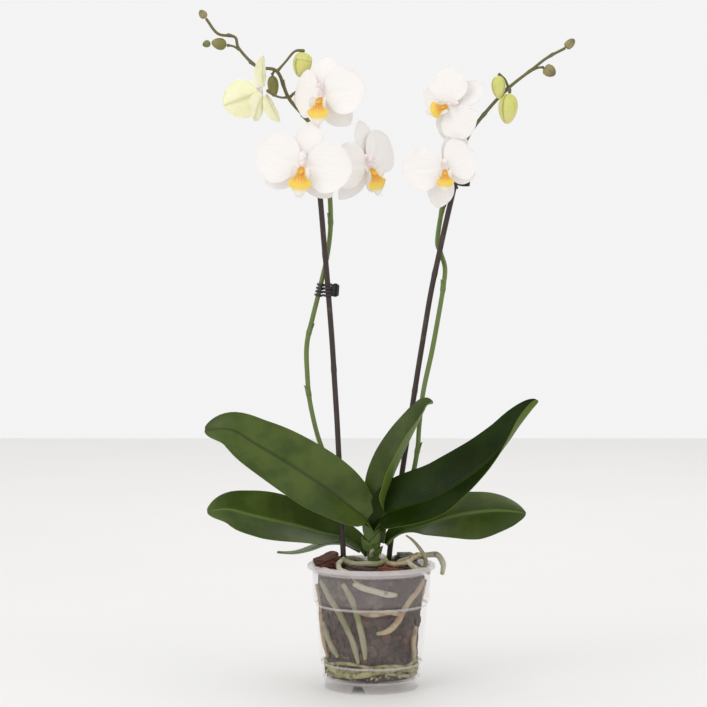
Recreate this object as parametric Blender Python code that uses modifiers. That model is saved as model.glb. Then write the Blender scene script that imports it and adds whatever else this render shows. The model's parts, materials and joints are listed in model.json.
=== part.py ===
"""A potted moth orchid: two flower spikes on stakes, six leaves, aerial roots and a clear grow pot.

Metres, +Z up. The origin is on the pot's axis, on the surface that the pot stands on, and the plant's
front faces -Y. Points of the plant are written in millimetres and turned into metres by mm().
"""

import math

import bmesh
import bpy
from mathutils import Matrix, Vector, noise

GAP = 0.0003

# Pot: each tier is bottom height, top height, outer radius at the bottom, outer radius at the top
FOOT_TIER = (0.0, 0.0096, 0.0444, 0.0448)
BASE_TIER = (0.0100, 0.0238, 0.0460, 0.0475)
BODY_TIER = (0.0256, 0.0790, 0.0491, 0.0532)
COLLAR_TIER = (0.0820, 0.1105, 0.0553, 0.0566)
POT_WALL = 0.0010
POT_HEIGHT = 0.1170
RIM_RADIUS = 0.0610
RIM_SKIRT = 0.0042
HUB_RADIUS = 0.0060
FLOOR_TOP = FOOT_TIER[1] + 0.0012
POT_STEPS = 32
NOTCHES = 3
NOTCH_ANGLE = math.radians(-17.0)
NOTCH_HEIGHT = 0.0072
NOTCH_WIDTHS = (0.0155, 0.0065)
DRAINS = 6
DRAIN_RADIUS = 0.0040
DRAIN_CIRCLE = 0.0260

# Growing mix and what stands in it
MIX_TOP = 0.1075
STAKE_RADIUS = 0.0026
ROOT_RADIUS = 0.0029
MIX_ROOM = 0.0015
WALL_STEP_REACH = 0.008

# Plant
LEAF_THICKNESS = 0.0020
TEPAL_THICKNESS = 0.0009
SPIKE_RADIUS = 0.0023
RACHIS_RADIUS = 0.0014
PEDICEL_RADIUS = 0.0011
LEAF_ROWS = 12
TEPAL_ROWS = 6
SMALL_LOBE = 26.0
NARROW_LOBE = 15.0

PART = "potted_orchid"
UP = Vector((0.0, 0.0, 1.0))


def mm(*values):
    """A point or a vector written in millimetres."""
    return Vector(values) / 1000.0


def clear_scene():
    for obj in list(bpy.data.objects):
        bpy.data.objects.remove(obj)


def new_collection(name):
    made = bpy.data.collections.new(name)
    bpy.context.scene.collection.children.link(made)
    return made


def new_material(name, colour, roughness, alpha=1.0):
    """A Principled material with one colour; none of the plant or the pot is metal."""
    made = bpy.data.materials.new(name)
    made.use_nodes = True
    made.diffuse_color = (*colour, alpha)
    shader = made.node_tree.nodes["Principled BSDF"]
    shader.inputs["Base Color"].default_value = (*colour, 1.0)
    shader.inputs["Roughness"].default_value = roughness
    shader.inputs["Metallic"].default_value = 0.0
    shader.inputs["Alpha"].default_value = alpha
    return made


def new_object(name, data, material, collection):
    """An object of this data in the collection, dressed in the material."""
    made = bpy.data.objects.new(name, data)
    collection.objects.link(made)
    if material is not None:
        data.materials.append(material)
    return made


def mesh_from(bm, name):
    """The finished mesh of a bmesh, smooth, with its faces pointing out."""
    bmesh.ops.recalc_face_normals(bm, faces=bm.faces[:])
    mesh = bpy.data.meshes.new(name)
    bm.to_mesh(mesh)
    bm.free()
    mesh.shade_smooth()
    return mesh


def make_cutter(obj):
    obj.hide_render = True
    obj.display_type = "WIRE"
    return obj


def cut_by(obj, cutters):
    """Takes every object of the cutter collection out of obj."""
    boolean = obj.modifiers.new("cut", "BOOLEAN")
    boolean.operation = "DIFFERENCE"
    boolean.operand_type = "COLLECTION"
    boolean.collection = cutters
    return boolean


def turned(name, profile, steps, material, collection):
    """A solid of revolution about Z from (radius, height) points that run down its outer side."""
    mesh = bpy.data.meshes.new(name)
    points = [(radius, 0.0, height) for radius, height in profile]
    mesh.from_pydata(points, [(i, i + 1) for i in range(len(points) - 1)], [])
    made = new_object(name, mesh, material, collection)
    screw = made.modifiers.new("turn", "SCREW")
    screw.steps = screw.render_steps = steps
    screw.use_merge_vertices = True
    screw.merge_threshold = 0.00001
    screw.use_smooth_shade = True
    return made


def smooth(points, steps):
    """A Catmull-Rom curve through points of any size, with this many steps to a stretch."""
    ends = [2 * points[0] - points[1], *points, 2 * points[-1] - points[-2]]
    curve = []
    for i in range(len(points) - 1):
        a, b, c, d = ends[i : i + 4]
        for k in range(steps):
            t = k / steps
            curve.append(
                0.5 * (2 * b + (c - a) * t + (2 * a - 5 * b + 4 * c - d) * t * t
                       + (3 * b - a - 3 * c + d) * t ** 3)
            )
    curve.append(points[-1].copy())
    return curve


def tube(name, route, radii, material, collection, steps=4, sides=2):
    """A round stem through the route's points; radii runs from its start to its end."""
    curve = bpy.data.curves.new(name, "CURVE")
    curve.dimensions = "3D"
    curve.bevel_depth = 1.0
    curve.bevel_resolution = sides
    curve.use_fill_caps = True
    points = smooth(route, steps)
    spline = curve.splines.new("POLY")
    spline.points.add(len(points) - 1)
    for i, (place, point) in enumerate(zip(points, spline.points)):
        at = i / (len(points) - 1) * (len(radii) - 1)
        k = min(int(at), len(radii) - 2)
        point.co = (*place, 1.0)
        point.radius = radii[k] + (radii[k + 1] - radii[k]) * (at - k)
    return new_object(name, curve, material, collection)


def as_mesh(obj):
    """The same tube as a mesh object, with its caps welded on, so that it can take a Boolean."""
    graph = bpy.context.evaluated_depsgraph_get()
    mesh = bpy.data.meshes.new_from_object(obj.evaluated_get(graph))
    bm = bmesh.new()
    bm.from_mesh(mesh)
    bmesh.ops.remove_doubles(bm, verts=bm.verts[:], dist=0.00001)
    bm.to_mesh(mesh)
    bm.free()
    mesh.shade_smooth()
    name, matrix, collection = obj.name, obj.matrix_world.copy(), obj.users_collection[0]
    bpy.data.objects.remove(obj)
    made = bpy.data.objects.new(name, mesh)
    made.matrix_world = matrix
    collection.objects.link(made)
    return made


def mesh_tube(name, route, radii, material, collection, steps=4, sides=2):
    return as_mesh(tube(name, route, radii, material, collection, steps, sides))


def width_at(share, half_width, neck, peak, blunt):
    """Half the width of a blade at this share of its length: a neck that widens to its peak and closes."""
    exponent = math.log(0.5) / math.log(peak)
    swell = max(math.sin(math.pi * share ** exponent), 0.0) ** blunt
    return max(neck * (1.0 - share) ** 2 + half_width * swell, half_width * 0.02)


def blade_rows(rows):
    """Shares of a blade's length, closer together towards both ends."""
    shares = [0.5 - 0.5 * math.cos(math.pi * i / rows) for i in range(rows + 1)]
    shares[-1] = 0.998
    return shares


def grid_faces(bm, grid):
    for first, second in zip(grid, grid[1:]):
        for i in range(len(first) - 1):
            bm.faces.new((first[i], first[i + 1], second[i + 1], second[i]))


def solidify(obj, thickness):
    shell = obj.modifiers.new("thickness", "SOLIDIFY")
    shell.thickness = thickness
    shell.offset = 0.0
    shell.use_even_offset = False
    return obj


# ---------------------------------------------------------------- pot


def pot_profile():
    """The moulding as one closed path: floor, inner wall, rolled rim, outer wall, foot and hub."""
    tiers = (BASE_TIER, BODY_TIER, COLLAR_TIER)
    inner, outer = [], []
    for bottom, top, low_radius, high_radius in tiers:
        inner += [(low_radius - POT_WALL, max(bottom, FLOOR_TOP)), (high_radius - POT_WALL, top)]
        outer += [(low_radius, bottom), (high_radius, top)]
    rim_inner = COLLAR_TIER[3] - POT_WALL + 0.0004
    rim = [
        (rim_inner, POT_HEIGHT - 0.0012),
        (rim_inner + 0.0012, POT_HEIGHT),
        (RIM_RADIUS - 0.0014, POT_HEIGHT),
        (RIM_RADIUS, POT_HEIGHT - 0.0014),
        (RIM_RADIUS - 0.0002, POT_HEIGHT - RIM_SKIRT),
        (RIM_RADIUS - 0.0014, POT_HEIGHT - RIM_SKIRT),
        (COLLAR_TIER[3] + 0.0010, POT_HEIGHT - 0.0030),
    ]
    bottom, top, low_radius, high_radius = FOOT_TIER
    foot = [
        (high_radius, top),
        (low_radius, bottom),
        (low_radius - POT_WALL, bottom),
        (high_radius - 2 * POT_WALL, top),
        (HUB_RADIUS + POT_WALL, top),
        (HUB_RADIUS, bottom),
        (0.0, bottom),
    ]
    hub = [(0.0, POT_WALL * 1.2), (HUB_RADIUS - POT_WALL, POT_WALL * 1.2), (HUB_RADIUS, FLOOR_TOP)]
    return hub + inner + rim + outer[::-1] + foot


def wall_radius(height):
    """The inner radius of the pot at a height between its floor and its rim."""
    knots = [knot for tier in (BASE_TIER, BODY_TIER, COLLAR_TIER)
             for knot in ((tier[0], tier[2]), (tier[1], tier[3]))]
    for (low, low_radius), (high, high_radius) in zip(knots, knots[1:]):
        if height <= high:
            share = max(height - low, 0.0) / (high - low)
            return low_radius + (high_radius - low_radius) * share - POT_WALL
    return knots[-1][1] - POT_WALL


def around(angle, radius, height=0.0):
    """A point at an angle from the front, turning towards +X."""
    return Vector((radius * math.sin(angle), -radius * math.cos(angle), height))


def notch_cutter(index, cutters):
    """A wedge that is wide at the table and narrow at the top, for one vent in the foot."""
    bm = bmesh.new()
    bmesh.ops.create_cube(bm, size=1.0)
    for vertex in bm.verts:
        high = vertex.co.z > 0
        vertex.co.x *= NOTCH_WIDTHS[1] if high else NOTCH_WIDTHS[0]
        vertex.co.y *= 4 * POT_WALL
        vertex.co.z = NOTCH_HEIGHT if high else -NOTCH_HEIGHT / 10
    cutter = new_object(f"notch_cutter_{index}", mesh_from(bm, "notch"), None, cutters)
    angle = NOTCH_ANGLE + index * math.tau / NOTCHES
    cutter.matrix_world = (
        Matrix.Translation(around(angle, FOOT_TIER[2])) @ Matrix.Rotation(angle, 4, "Z")
    )
    return make_cutter(cutter)


def drain_cutter(index, cutters):
    bm = bmesh.new()
    bmesh.ops.create_cone(
        bm, cap_ends=True, segments=12, radius1=DRAIN_RADIUS, radius2=DRAIN_RADIUS, depth=8 * POT_WALL
    )
    cutter = new_object(f"drain_cutter_{index}", mesh_from(bm, "drain"), None, cutters)
    cutter.location = around((index + 0.5) * math.tau / DRAINS, DRAIN_CIRCLE, FOOT_TIER[1])
    return make_cutter(cutter)


def make_pot(plastic, part, cutters):
    pot = turned("grow_pot", pot_profile(), POT_STEPS, plastic, part)
    for index in range(NOTCHES):
        notch_cutter(index, cutters)
    for index in range(DRAINS):
        drain_cutter(index, cutters)
    cut_by(pot, cutters)
    return pot


# ---------------------------------------------------------------- growing mix, bark, roots, stakes


def make_mix(material, part, cutters):
    """The bark mix that fills the pot. The cutters are the channels of what stands and lies in it."""
    sides = []
    for tier in (COLLAR_TIER, BODY_TIER, BASE_TIER):
        for height in (tier[1], tier[0]):
            level = min(max(height, FLOOR_TOP + GAP), MIX_TOP - 0.0030)
            sides.append((wall_radius(level) - MIX_ROOM, level))
    top = [(0.0, MIX_TOP + 0.0020), (0.0300, MIX_TOP + 0.0012), (sides[0][0] - 0.0030, MIX_TOP)]
    mix = turned("bark_mix", top + sides + [(0.0, FLOOR_TOP + GAP)], POT_STEPS, material, part)
    cut_by(mix, cutters)
    return mix


def against_wall(degrees, height, radius=ROOT_RADIUS):
    """The middle of a root that lies against the inside of the pot. A step of the wall just below the root
    pushes it inwards as well."""
    height /= 1000.0
    narrowest = min(wall_radius(height - reach) for reach in (0.0, radius, WALL_STEP_REACH))
    slack = narrowest - radius - 1.6 * GAP
    return around(math.radians(degrees), slack, height)


# Roots pressed against the pot: angle from the front and height in millimetres
WALL_ROOTS = {
    "root_wall_left": ((-66, 103), (-52, 90), (-40, 76), (-29, 60), (-22, 48), (-19, 38), (-17, 29)),
    "root_wall_centre": ((-31, 103), (-26, 96), (-21, 86), (-16, 72), (-12, 58), (-9, 44), (-8, 33)),
    "root_wall_band": ((-19, 104), (-8, 100), (4, 97), (16, 94), (27, 93)),
    "root_wall_right": ((70, 103), (58, 95), (46, 86), (37, 76), (29, 66), (18, 59), (6, 57)),
    "root_wall_low": ((-74, 63), (-66, 53), (-56, 43), (-46, 33)),
}
ROOT_ENDS = (0.75, 1.0, 1.0, 1.0, 1.0, 1.0, 0.55)

# Roots above the mix: route in millimetres, radius and how the radius tapers along it
AERIAL_ROOTS = {
    "root_over_rim": (
        (mm(21, 5, 107), mm(27, 5, 117), mm(44, 4, 122), mm(56, 2, 124.5), mm(63.5, -1, 124),
         mm(68, -4, 116), mm(67, -6, 107)),
        0.0026, (0.9, 1.0, 1.0, 1.0, 1.1, 1.1, 0.7),
    ),
    "root_rising": (
        (mm(49, -17, 112), mm(51, -20, 121), mm(47, -22, 131), mm(39, -24, 141), mm(32.5, -25, 146)),
        0.0016, (1.3, 1.3, 1.1, 0.9, 0.5),
    ),
}


def tangle_route():
    """One root that winds along the foot of the wall and wanders up and down."""
    route = []
    for degrees in range(-130, 131, 20):
        height = 19.5 + 3.0 * math.sin(math.radians(degrees * 3.1))
        place = against_wall(degrees, height, 0.0032)
        route.append(place)
    return route


def make_roots(material, part, cutters):
    """Every root as its own piece, and the channel that each one takes in the mix."""
    made = []
    for name, steps in WALL_ROOTS.items():
        route = [against_wall(degrees, height) for degrees, height in steps]
        made.append((name, route, [ROOT_RADIUS * share for share in ROOT_ENDS]))
    made.append(("root_tangle", tangle_route(), [0.0018, 0.0029, 0.0031, 0.0027, 0.0030, 0.0016]))
    for name, (route, radius, taper) in AERIAL_ROOTS.items():
        made.append((name, list(route), [radius * share for share in taper]))
    for name, route, radii in made:
        tube(name, route, radii, material, part, steps=2)
        channel = [radius + GAP for radius in radii]
        make_cutter(mesh_tube(f"{name}_channel", route, channel, None, cutters, steps=2))


STAKES = {
    "stake_left": (mm(-24, -1, 30), mm(-26.5, -1, 118), mm(-31, 4, 220), mm(-37, 8, 320), mm(-41.5, 10, 379),
                   mm(-49, 12, 466)),
    "stake_right": (mm(12, 24, 30), mm(17, 23, 118), mm(28, 22, 190), mm(41, 22, 274), mm(56, 22, 366),
                    mm(67, 22, 419), mm(81, 22, 481)),
}


def make_stakes(material, part, cutters):
    for name, route in STAKES.items():
        tube(name, route, [STAKE_RADIUS] * 2, material, part, steps=3)
        foot = [route[0] - mm(0, 0, 1), *route[1:3]]
        make_cutter(mesh_tube(f"{name}_hole", foot, [STAKE_RADIUS + GAP] * 2, None, cutters, steps=3))


# Bark pieces: centre, size and turn about X, Y and Z in degrees
BARK = {
    "bark_left": (mm(-41, -8, 117.5), mm(26, 18, 17), (12, -18, 25)),
    "bark_centre": (mm(-9, -35, 113.5), mm(27, 17, 12), (8, 6, -10)),
    "bark_red": (mm(19, -39, 112.5), mm(28, 13, 11), (-6, 8, 14)),
    "bark_back": (mm(33, 23, 117), mm(23, 15, 12), (10, 10, 30)),
}


def bark_mesh(name, size, swell=0.0):
    """A split piece of bark: a boxy lump with a broken surface."""
    bm = bmesh.new()
    bmesh.ops.create_icosphere(bm, subdivisions=2, radius=1.0)
    for vertex in bm.verts:
        direction = vertex.co.normalized()
        square = max(abs(part) for part in direction)
        reach = (0.82 / square) ** 0.65 * (1.0 + 0.16 * noise.noise(direction * 1.7 + size * 90.0))
        vertex.co = Vector([part * reach * (side / 2 + swell) for part, side in zip(direction, size)])
    return mesh_from(bm, name)


def make_bark(material, part, cutters):
    for name, (centre, size, turns) in BARK.items():
        matrix = Matrix.Translation(centre)
        for axis, degrees in zip("XYZ", turns):
            matrix = matrix @ Matrix.Rotation(math.radians(degrees), 4, axis)
        new_object(name, bark_mesh(name, size), material, part).matrix_world = matrix
        bed = new_object(f"{name}_bed", bark_mesh(name, size, 2 * GAP), None, cutters)
        bed.matrix_world = matrix
        make_cutter(bed)


# ---------------------------------------------------------------- stem and leaves

# Half widths and heights of the stem in millimetres, and how thick it is for its width
CROWN_PROFILE = ((0, 176), (6.5, 175), (11.6, 168), (12.4, 158), (11.4, 150), (8.8, 139), (6.8, 129),
                 (6.2, 119), (7.2, 112), (5.0, 103), (0, 101))
CROWN_FLATNESS = 0.56
CROWN_MIDDLE = 1.5


def make_crown(material, part, cutters):
    """The short stem that carries the leaves, wider along the fan of leaves than across it."""
    profile = [(radius / 1000, height / 1000) for radius, height in CROWN_PROFILE]
    crown = turned("crown", profile, 20, material, part)
    crown.scale = (1.0, CROWN_FLATNESS, 1.0)
    crown.location.x = CROWN_MIDDLE / 1000
    bed_profile = [(radius + 2 * GAP if radius else 0.0, height) for radius, height in profile[:-1]]
    bed_profile.append((0.0, profile[-1][1] - 2 * GAP))
    bed = turned("crown_bed", bed_profile, 20, None, cutters)
    bed.scale = crown.scale
    bed.location = crown.location
    make_cutter(bed)


# Leaves: midrib route, directions that the upper side faces from base to tip, half width at the widest,
# half width at the base, share of the length where it is widest, how blunt its ends are, and how far
# the halves fold up in degrees, from base to tip
LEAVES = {
    "leaf_upper_left": (
        (mm(-11, -10, 162), mm(-24, -14, 173), mm(-40, -19, 185), mm(-62, -24, 199), mm(-85, -28, 216),
         mm(-108, -28, 231), mm(-132, -25, 244), mm(-156, -21, 248)),
        (Vector((0.45, -0.85, 0.55)), Vector((0.25, -0.90, 0.40)), Vector((0.15, -0.88, 0.48)),
         Vector((-0.1, -0.85, 0.60))),
        0.0275, 0.0085, 0.50, 0.46, (26, 12, 9, 14),
    ),
    "leaf_lower_left": (
        (mm(-5, 12, 122), mm(-13, 19, 131), mm(-27, 22, 138), mm(-46, 19, 141), mm(-66, 13, 147),
         mm(-90, 6, 153), mm(-117, 1, 160), mm(-136, -1, 165), mm(-156, -3, 164)),
        (Vector((0.2, -0.30, 0.9)), Vector((0.0, -0.65, 0.7)), Vector((0.0, -0.76, 0.66)),
         Vector((-0.2, -0.72, 0.70))),
        0.0275, 0.0050, 0.62, 0.55, (36, 20, 14, 8),
    ),
    "leaf_small_left": (
        (mm(-11, 23, 125), mm(-26, 31, 131), mm(-42, 34, 131), mm(-58, 37, 125), mm(-74, 39, 121.5),
         mm(-91, 40, 122)),
        (Vector((0.0, -0.10, 1.0)), Vector((0.0, -0.06, 1.0)), Vector((0.0, 0.0, 1.0))),
        0.0150, 0.0045, 0.50, 0.7, (20, 10, 4),
    ),
    "leaf_centre": (
        (mm(13, -1, 180), mm(15, -2.5, 187), mm(18.5, -5, 197), mm(25, -8, 213), mm(33, -8, 230),
         mm(41.5, -8, 247), mm(47.5, -8, 260), mm(52, -8, 268), mm(58.5, -8, 270)),
        (Vector((-1.0, -0.55, 0.2)), Vector((-0.9, -0.50, 0.45)), Vector((-0.8, -0.45, 0.55)),
         Vector((-0.3, -0.40, 0.9))),
        0.0220, 0.0105, 0.44, 0.50, (44, 42, 38, 24),
    ),
    "leaf_upper_right": (
        (mm(12, -11, 157), mm(27, -18, 161), mm(46, -26, 170), mm(65, -32, 182), mm(83, -35, 196),
         mm(99, -36, 210), mm(114, -35, 224), mm(130, -33, 241), mm(145, -31, 259), mm(156, -29, 272)),
        (Vector((-0.2, -0.98, 0.25)), Vector((-0.40, -0.88, 0.38)), Vector((-0.60, -0.58, 0.50)),
         Vector((-0.60, -0.35, 0.65))),
        0.0290, 0.0090, 0.42, 0.50, (10, 16, 38, 44),
    ),
    "leaf_lower_right": (
        (mm(14.5, 0, 134), mm(21, 2, 141), mm(30, 4, 146), mm(44, 8, 149), mm(62, 9, 157), mm(80, 8, 163),
         mm(98, 6, 167), mm(118, 4, 169), mm(137, 2, 167.5), mm(147, 2, 165)),
        (Vector((-0.5, -0.35, 0.8)), Vector((-0.1, -0.60, 0.75)), Vector((0.0, -0.76, 0.64)),
         Vector((0.2, -0.75, 0.66))),
        0.0270, 0.0048, 0.62, 0.60, (40, 14, -12, -14),
    ),
}


def spread(values, share):
    """The value at this share of the way along an evenly spaced list."""
    at = share * (len(values) - 1)
    k = min(int(at), len(values) - 2)
    return values[k] + (values[k + 1] - values[k]) * (at - k)


def leaf_mesh(name, route, faces, half_width, neck, peak, blunt, folds):
    """A folded blade along the midrib: five points across it, the outer ones lifted by the fold."""
    midrib = smooth(list(route), 6)
    bm = bmesh.new()
    grid = []
    for share in blade_rows(LEAF_ROWS):
        at = share * (len(midrib) - 1)
        k = min(int(at), len(midrib) - 2)
        place = midrib[k].lerp(midrib[k + 1], at - k)
        along = (midrib[k + 1] - midrib[k]).normalized()
        hint = spread(faces, share)
        normal = (hint - along * hint.dot(along)).normalized()
        side = along.cross(normal)
        half = width_at(share, half_width, neck, peak, blunt)
        fold = math.radians(spread(folds, share))
        row = []
        for across in (-1.0, -0.55, 0.0, 0.55, 1.0):
            lift = half * math.sin(fold) * abs(across) ** 1.25
            row.append(bm.verts.new(place + side * across * half * math.cos(fold) + normal * lift))
        grid.append(row)
    grid_faces(bm, grid)
    return mesh_from(bm, name)


def make_leaves(material, part):
    for name, shape in LEAVES.items():
        solidify(new_object(name, leaf_mesh(name, *shape), material, part), LEAF_THICKNESS)


# ---------------------------------------------------------------- spikes, buds and flowers

LEFT_SPIKE = (
    mm(-10, 9, 168), mm(-24, 12, 190), mm(-46, 15, 222), mm(-58, 15, 265), mm(-61.5, 15, 300),
    mm(-61.5, 15, 325), mm(-56, 15, 350), mm(-50.5, 14, 372), mm(-47.5, 15, 385), mm(-42, 20, 410),
    mm(-39, 22, 438), mm(-40, 22, 470), mm(-44, 23, 505), mm(-58, 26, 535), mm(-79, 22, 560),
    mm(-90, 12, 585), mm(-109, 6, 589), mm(-126, 4, 606), mm(-130, 3, 617), mm(-146, 2, 620),
    mm(-157, 0, 634),
)
RIGHT_SPIKE = (
    mm(13, 12, 166), mm(24, 14, 180), mm(38, 15, 196), mm(44, 15, 222), mm(46, 15, 247), mm(50, 15, 280),
    mm(58, 15, 317), mm(65, 15, 355), mm(69.5, 17, 382), mm(71, 28, 398), mm(67, 31, 412), mm(64, 31, 425),
    mm(71, 31, 465), mm(82, 30, 495), mm(94, 24, 525), mm(112, 16, 549), mm(131, 9, 569), mm(154, 4, 587),
    mm(167, 2, 597), mm(184, 0, 606),
)

# Stalks of the flowers and buds: the spike that carries each, and its route in millimetres
LEFT_STALKS = {
    "a": (mm(-79, 22, 560), mm(-72, 20, 566), mm(-58, 11, 569), mm(-49, 1, 565), mm(-45.6, -6.8, 561.4)),
    "b": (mm(-44, 22, 505), mm(-52, 18, 508), mm(-61, 4, 502), mm(-64.8, -16.6, 495.3)),
    "c": (mm(-40, 22, 475), mm(-33, 25, 482), mm(-19, 23, 491), mm(-6.4, 10.6, 495.8)),
    "d": (mm(-80, 21.5, 561), mm(-86, 12, 560), mm(-92, -4, 561), mm(-98.6, -9.8, 565.2)),
    "g": (mm(-90, 12, 585), mm(-82, 11, 594), mm(-73, 10, 604), mm(-64, 10, 604.5)),
    "h": (mm(-90, 12, 586), mm(-93, 14, 585), mm(-95, 15, 582)),
    "i": (mm(-126, 4, 605), mm(-131, 3, 608), mm(-137, 2, 609)),
}
RIGHT_STALKS = {
    "e": (mm(94, 24, 525), mm(93, 20, 534), mm(85, 6, 547), mm(77.5, -5.2, 551)),
    "f": (mm(82, 30, 495), mm(84, 25, 500), mm(79, 10, 497), mm(70, -8.4, 492.3)),
    "l": (mm(131, 9, 569), mm(127, 5, 577), mm(121, 1, 581.5)),
    "m": (mm(125, 11, 562.5), mm(129, 6, 567), mm(131.8, 2, 567.5), mm(131.3, 0.3, 563.8)),
    "k": (mm(154, 4, 586), mm(160, 4, 588), mm(164, 4, 588)),
}


def make_spike(name, route, stalks, material, part, helpers):
    """One flower spike with the stalks that grow from it, joined as one body."""
    count = len(route)
    radii = [SPIKE_RADIUS] * (count // 2) + [SPIKE_RADIUS * 0.85, RACHIS_RADIUS * 1.2, RACHIS_RADIUS]
    spike = mesh_tube(name, list(route), radii, None, part, steps=2)
    spike.data.materials.clear()
    spike.data.materials.append(material)
    for key, stalk in stalks.items():
        radii = [PEDICEL_RADIUS * 1.2, PEDICEL_RADIUS, PEDICEL_RADIUS * 1.2]
        branch = mesh_tube(f"{name}_stalk_{key}", list(stalk), radii, None, helpers, steps=2)
        make_cutter(branch)
        union = spike.modifiers.new(f"stalk_{key}", "BOOLEAN")
        union.operation = "UNION"
        union.object = branch
    return spike


# Buds: where the stalk meets it, its tip, and its greatest radius
BUDS = {
    "bud_left_large": (mm(-64, 10, 602.8), mm(-68, 9, 579), 0.0098),
    "bud_left_hidden": (mm(-95.0, 15.6, 581.3), mm(-93, 17, 561), 0.0058),
    "bud_left_olive": (mm(-137.8, 2, 608.9), mm(-152, 2, 612), 0.0062),
    "bud_left_small": (mm(-153.2, 2, 611.6), mm(-160.5, 2, 609), 0.0038),
    "bud_left_tip": (mm(-157.4, 0, 634.7), mm(-163, 0, 642), 0.0042),
    "bud_right_upper": (mm(120.5, 0, 579.8), mm(121, -1, 558), 0.0074),
    "bud_right_large": (mm(131.2, 0, 562.8), mm(128.5, -1, 534), 0.0100),
    "bud_right_small": (mm(164.8, 4, 588), mm(175, 3, 581), 0.0064),
    "bud_right_tip": (mm(184.7, 0, 606.5), mm(193, 0, 614.5), 0.0046),
}


def bud_mesh(name, length, radius):
    """An egg with its blunt end at the stalk, along +Z from the origin."""
    bm = bmesh.new()
    bmesh.ops.create_uvsphere(bm, u_segments=8, v_segments=6, radius=1.0)
    for vertex in bm.verts:
        share = (vertex.co.z + 1.0) / 2.0
        narrow = 1.08 - 0.34 * share
        vertex.co = Vector((vertex.co.x * radius * narrow, vertex.co.y * radius * narrow, share * length))
    return mesh_from(bm, name)


def make_buds(material, part):
    for name, (base, tip, radius) in BUDS.items():
        axis = tip - base
        bud = new_object(name, bud_mesh(name, axis.length, radius), material, part)
        turn = axis.to_track_quat("Z", "Y").to_matrix().to_4x4()
        bud.matrix_world = Matrix.Translation(base + axis.normalized() * GAP) @ turn


def lobe(angle, length, half_width, neck=2.5, tilt=0.0, bend=0.0, cup=0.0, peak=0.52, blunt=0.62, start=3.0):
    """One blade of a flower, in degrees and millimetres: angle clockwise from the top, as seen from the
    front, tilt towards the front, bend of its far end and cup of its edges towards the front."""
    return dict(angle=angle, length=length, half_width=half_width, neck=neck, tilt=tilt, bend=bend, cup=cup,
                peak=peak, blunt=blunt, start=start)


def add_lobe(bm, shape, depth):
    """A blade from the middle of the flower outwards; returns its first row."""
    angle, tilt = math.radians(shape["angle"]), math.radians(shape["tilt"])
    flat = Vector((math.sin(angle), math.cos(angle), 0.0))
    out = flat * math.cos(tilt) + UP * math.sin(tilt)
    normal = UP * math.cos(tilt) - flat * math.sin(tilt)
    side = Vector((math.cos(angle), -math.sin(angle), 0.0))
    grid = []
    steps = (-1.0, 0.0, 1.0) if shape["half_width"] < NARROW_LOBE else (-1.0, -0.5, 0.0, 0.5, 1.0)
    for share in blade_rows(TEPAL_ROWS - 2 if shape["length"] < SMALL_LOBE else TEPAL_ROWS):
        half = width_at(share, shape["half_width"], shape["neck"], shape["peak"], shape["blunt"])
        row = []
        for across in steps:
            lift = shape["bend"] * share ** 2 + shape["cup"] * across ** 2 * half / shape["half_width"]
            place = out * (shape["start"] + share * shape["length"]) + side * across * half + normal * lift
            row.append(bm.verts.new((place + UP * depth) / 1000.0))
        grid.append(row)
    grid_faces(bm, grid)
    return grid[0]


def whorl_mesh(name, lobes, depth):
    """Blades around one middle, joined there when there are several."""
    bm = bmesh.new()
    rows = [add_lobe(bm, shape, depth) for shape in lobes]
    if len(rows) > 1:
        middle = bm.verts.new(UP * depth / 1000.0)
        ring = [vertex for row in rows for vertex in row]
        for vertex, following in zip(ring, ring[1:] + ring[:1]):
            bm.faces.new((middle, vertex, following))
    return mesh_from(bm, name)


def sepals(dorsal=(0, -3), right=(140, -8), left=(220, -8), length=36.0, half_width=12.5, cup=2.0):
    """Three sepals; each pair is an angle from the top and a tilt towards the front."""
    return tuple(
        lobe(angle, length, half_width, tilt=tilt, bend=-3, cup=cup, start=4.0, neck=3.0)
        for angle, tilt in (dorsal, right, left)
    )


def petals(left=(-80, 4, 41), right=(80, 4, 41), half_width=23.0, bend=-3.0):
    """The two broad petals, as an angle from the top, a tilt towards the front and a length each."""
    return tuple(
        lobe(angle, length, half_width, tilt=tilt, bend=bend, cup=1.5, peak=0.5, blunt=0.55)
        for angle, tilt, length in (left, right)
    )


LIP = (
    lobe(0, 7, 2.6, tilt=70, start=2.0, neck=2.4, peak=0.6, blunt=0.5),
    lobe(88, 13, 6.5, tilt=38, bend=4, start=2.5, neck=2.0),
    lobe(180, 24, 10.0, tilt=18, bend=-3, cup=2.0, start=2.5, neck=2.5, peak=0.45, blunt=0.8),
    lobe(272, 13, 6.5, tilt=38, bend=4, start=2.5, neck=2.0),
)
CLOSED_LIP = (lobe(180, 9, 3.6, tilt=66, start=3.6, neck=2.0),)

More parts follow.
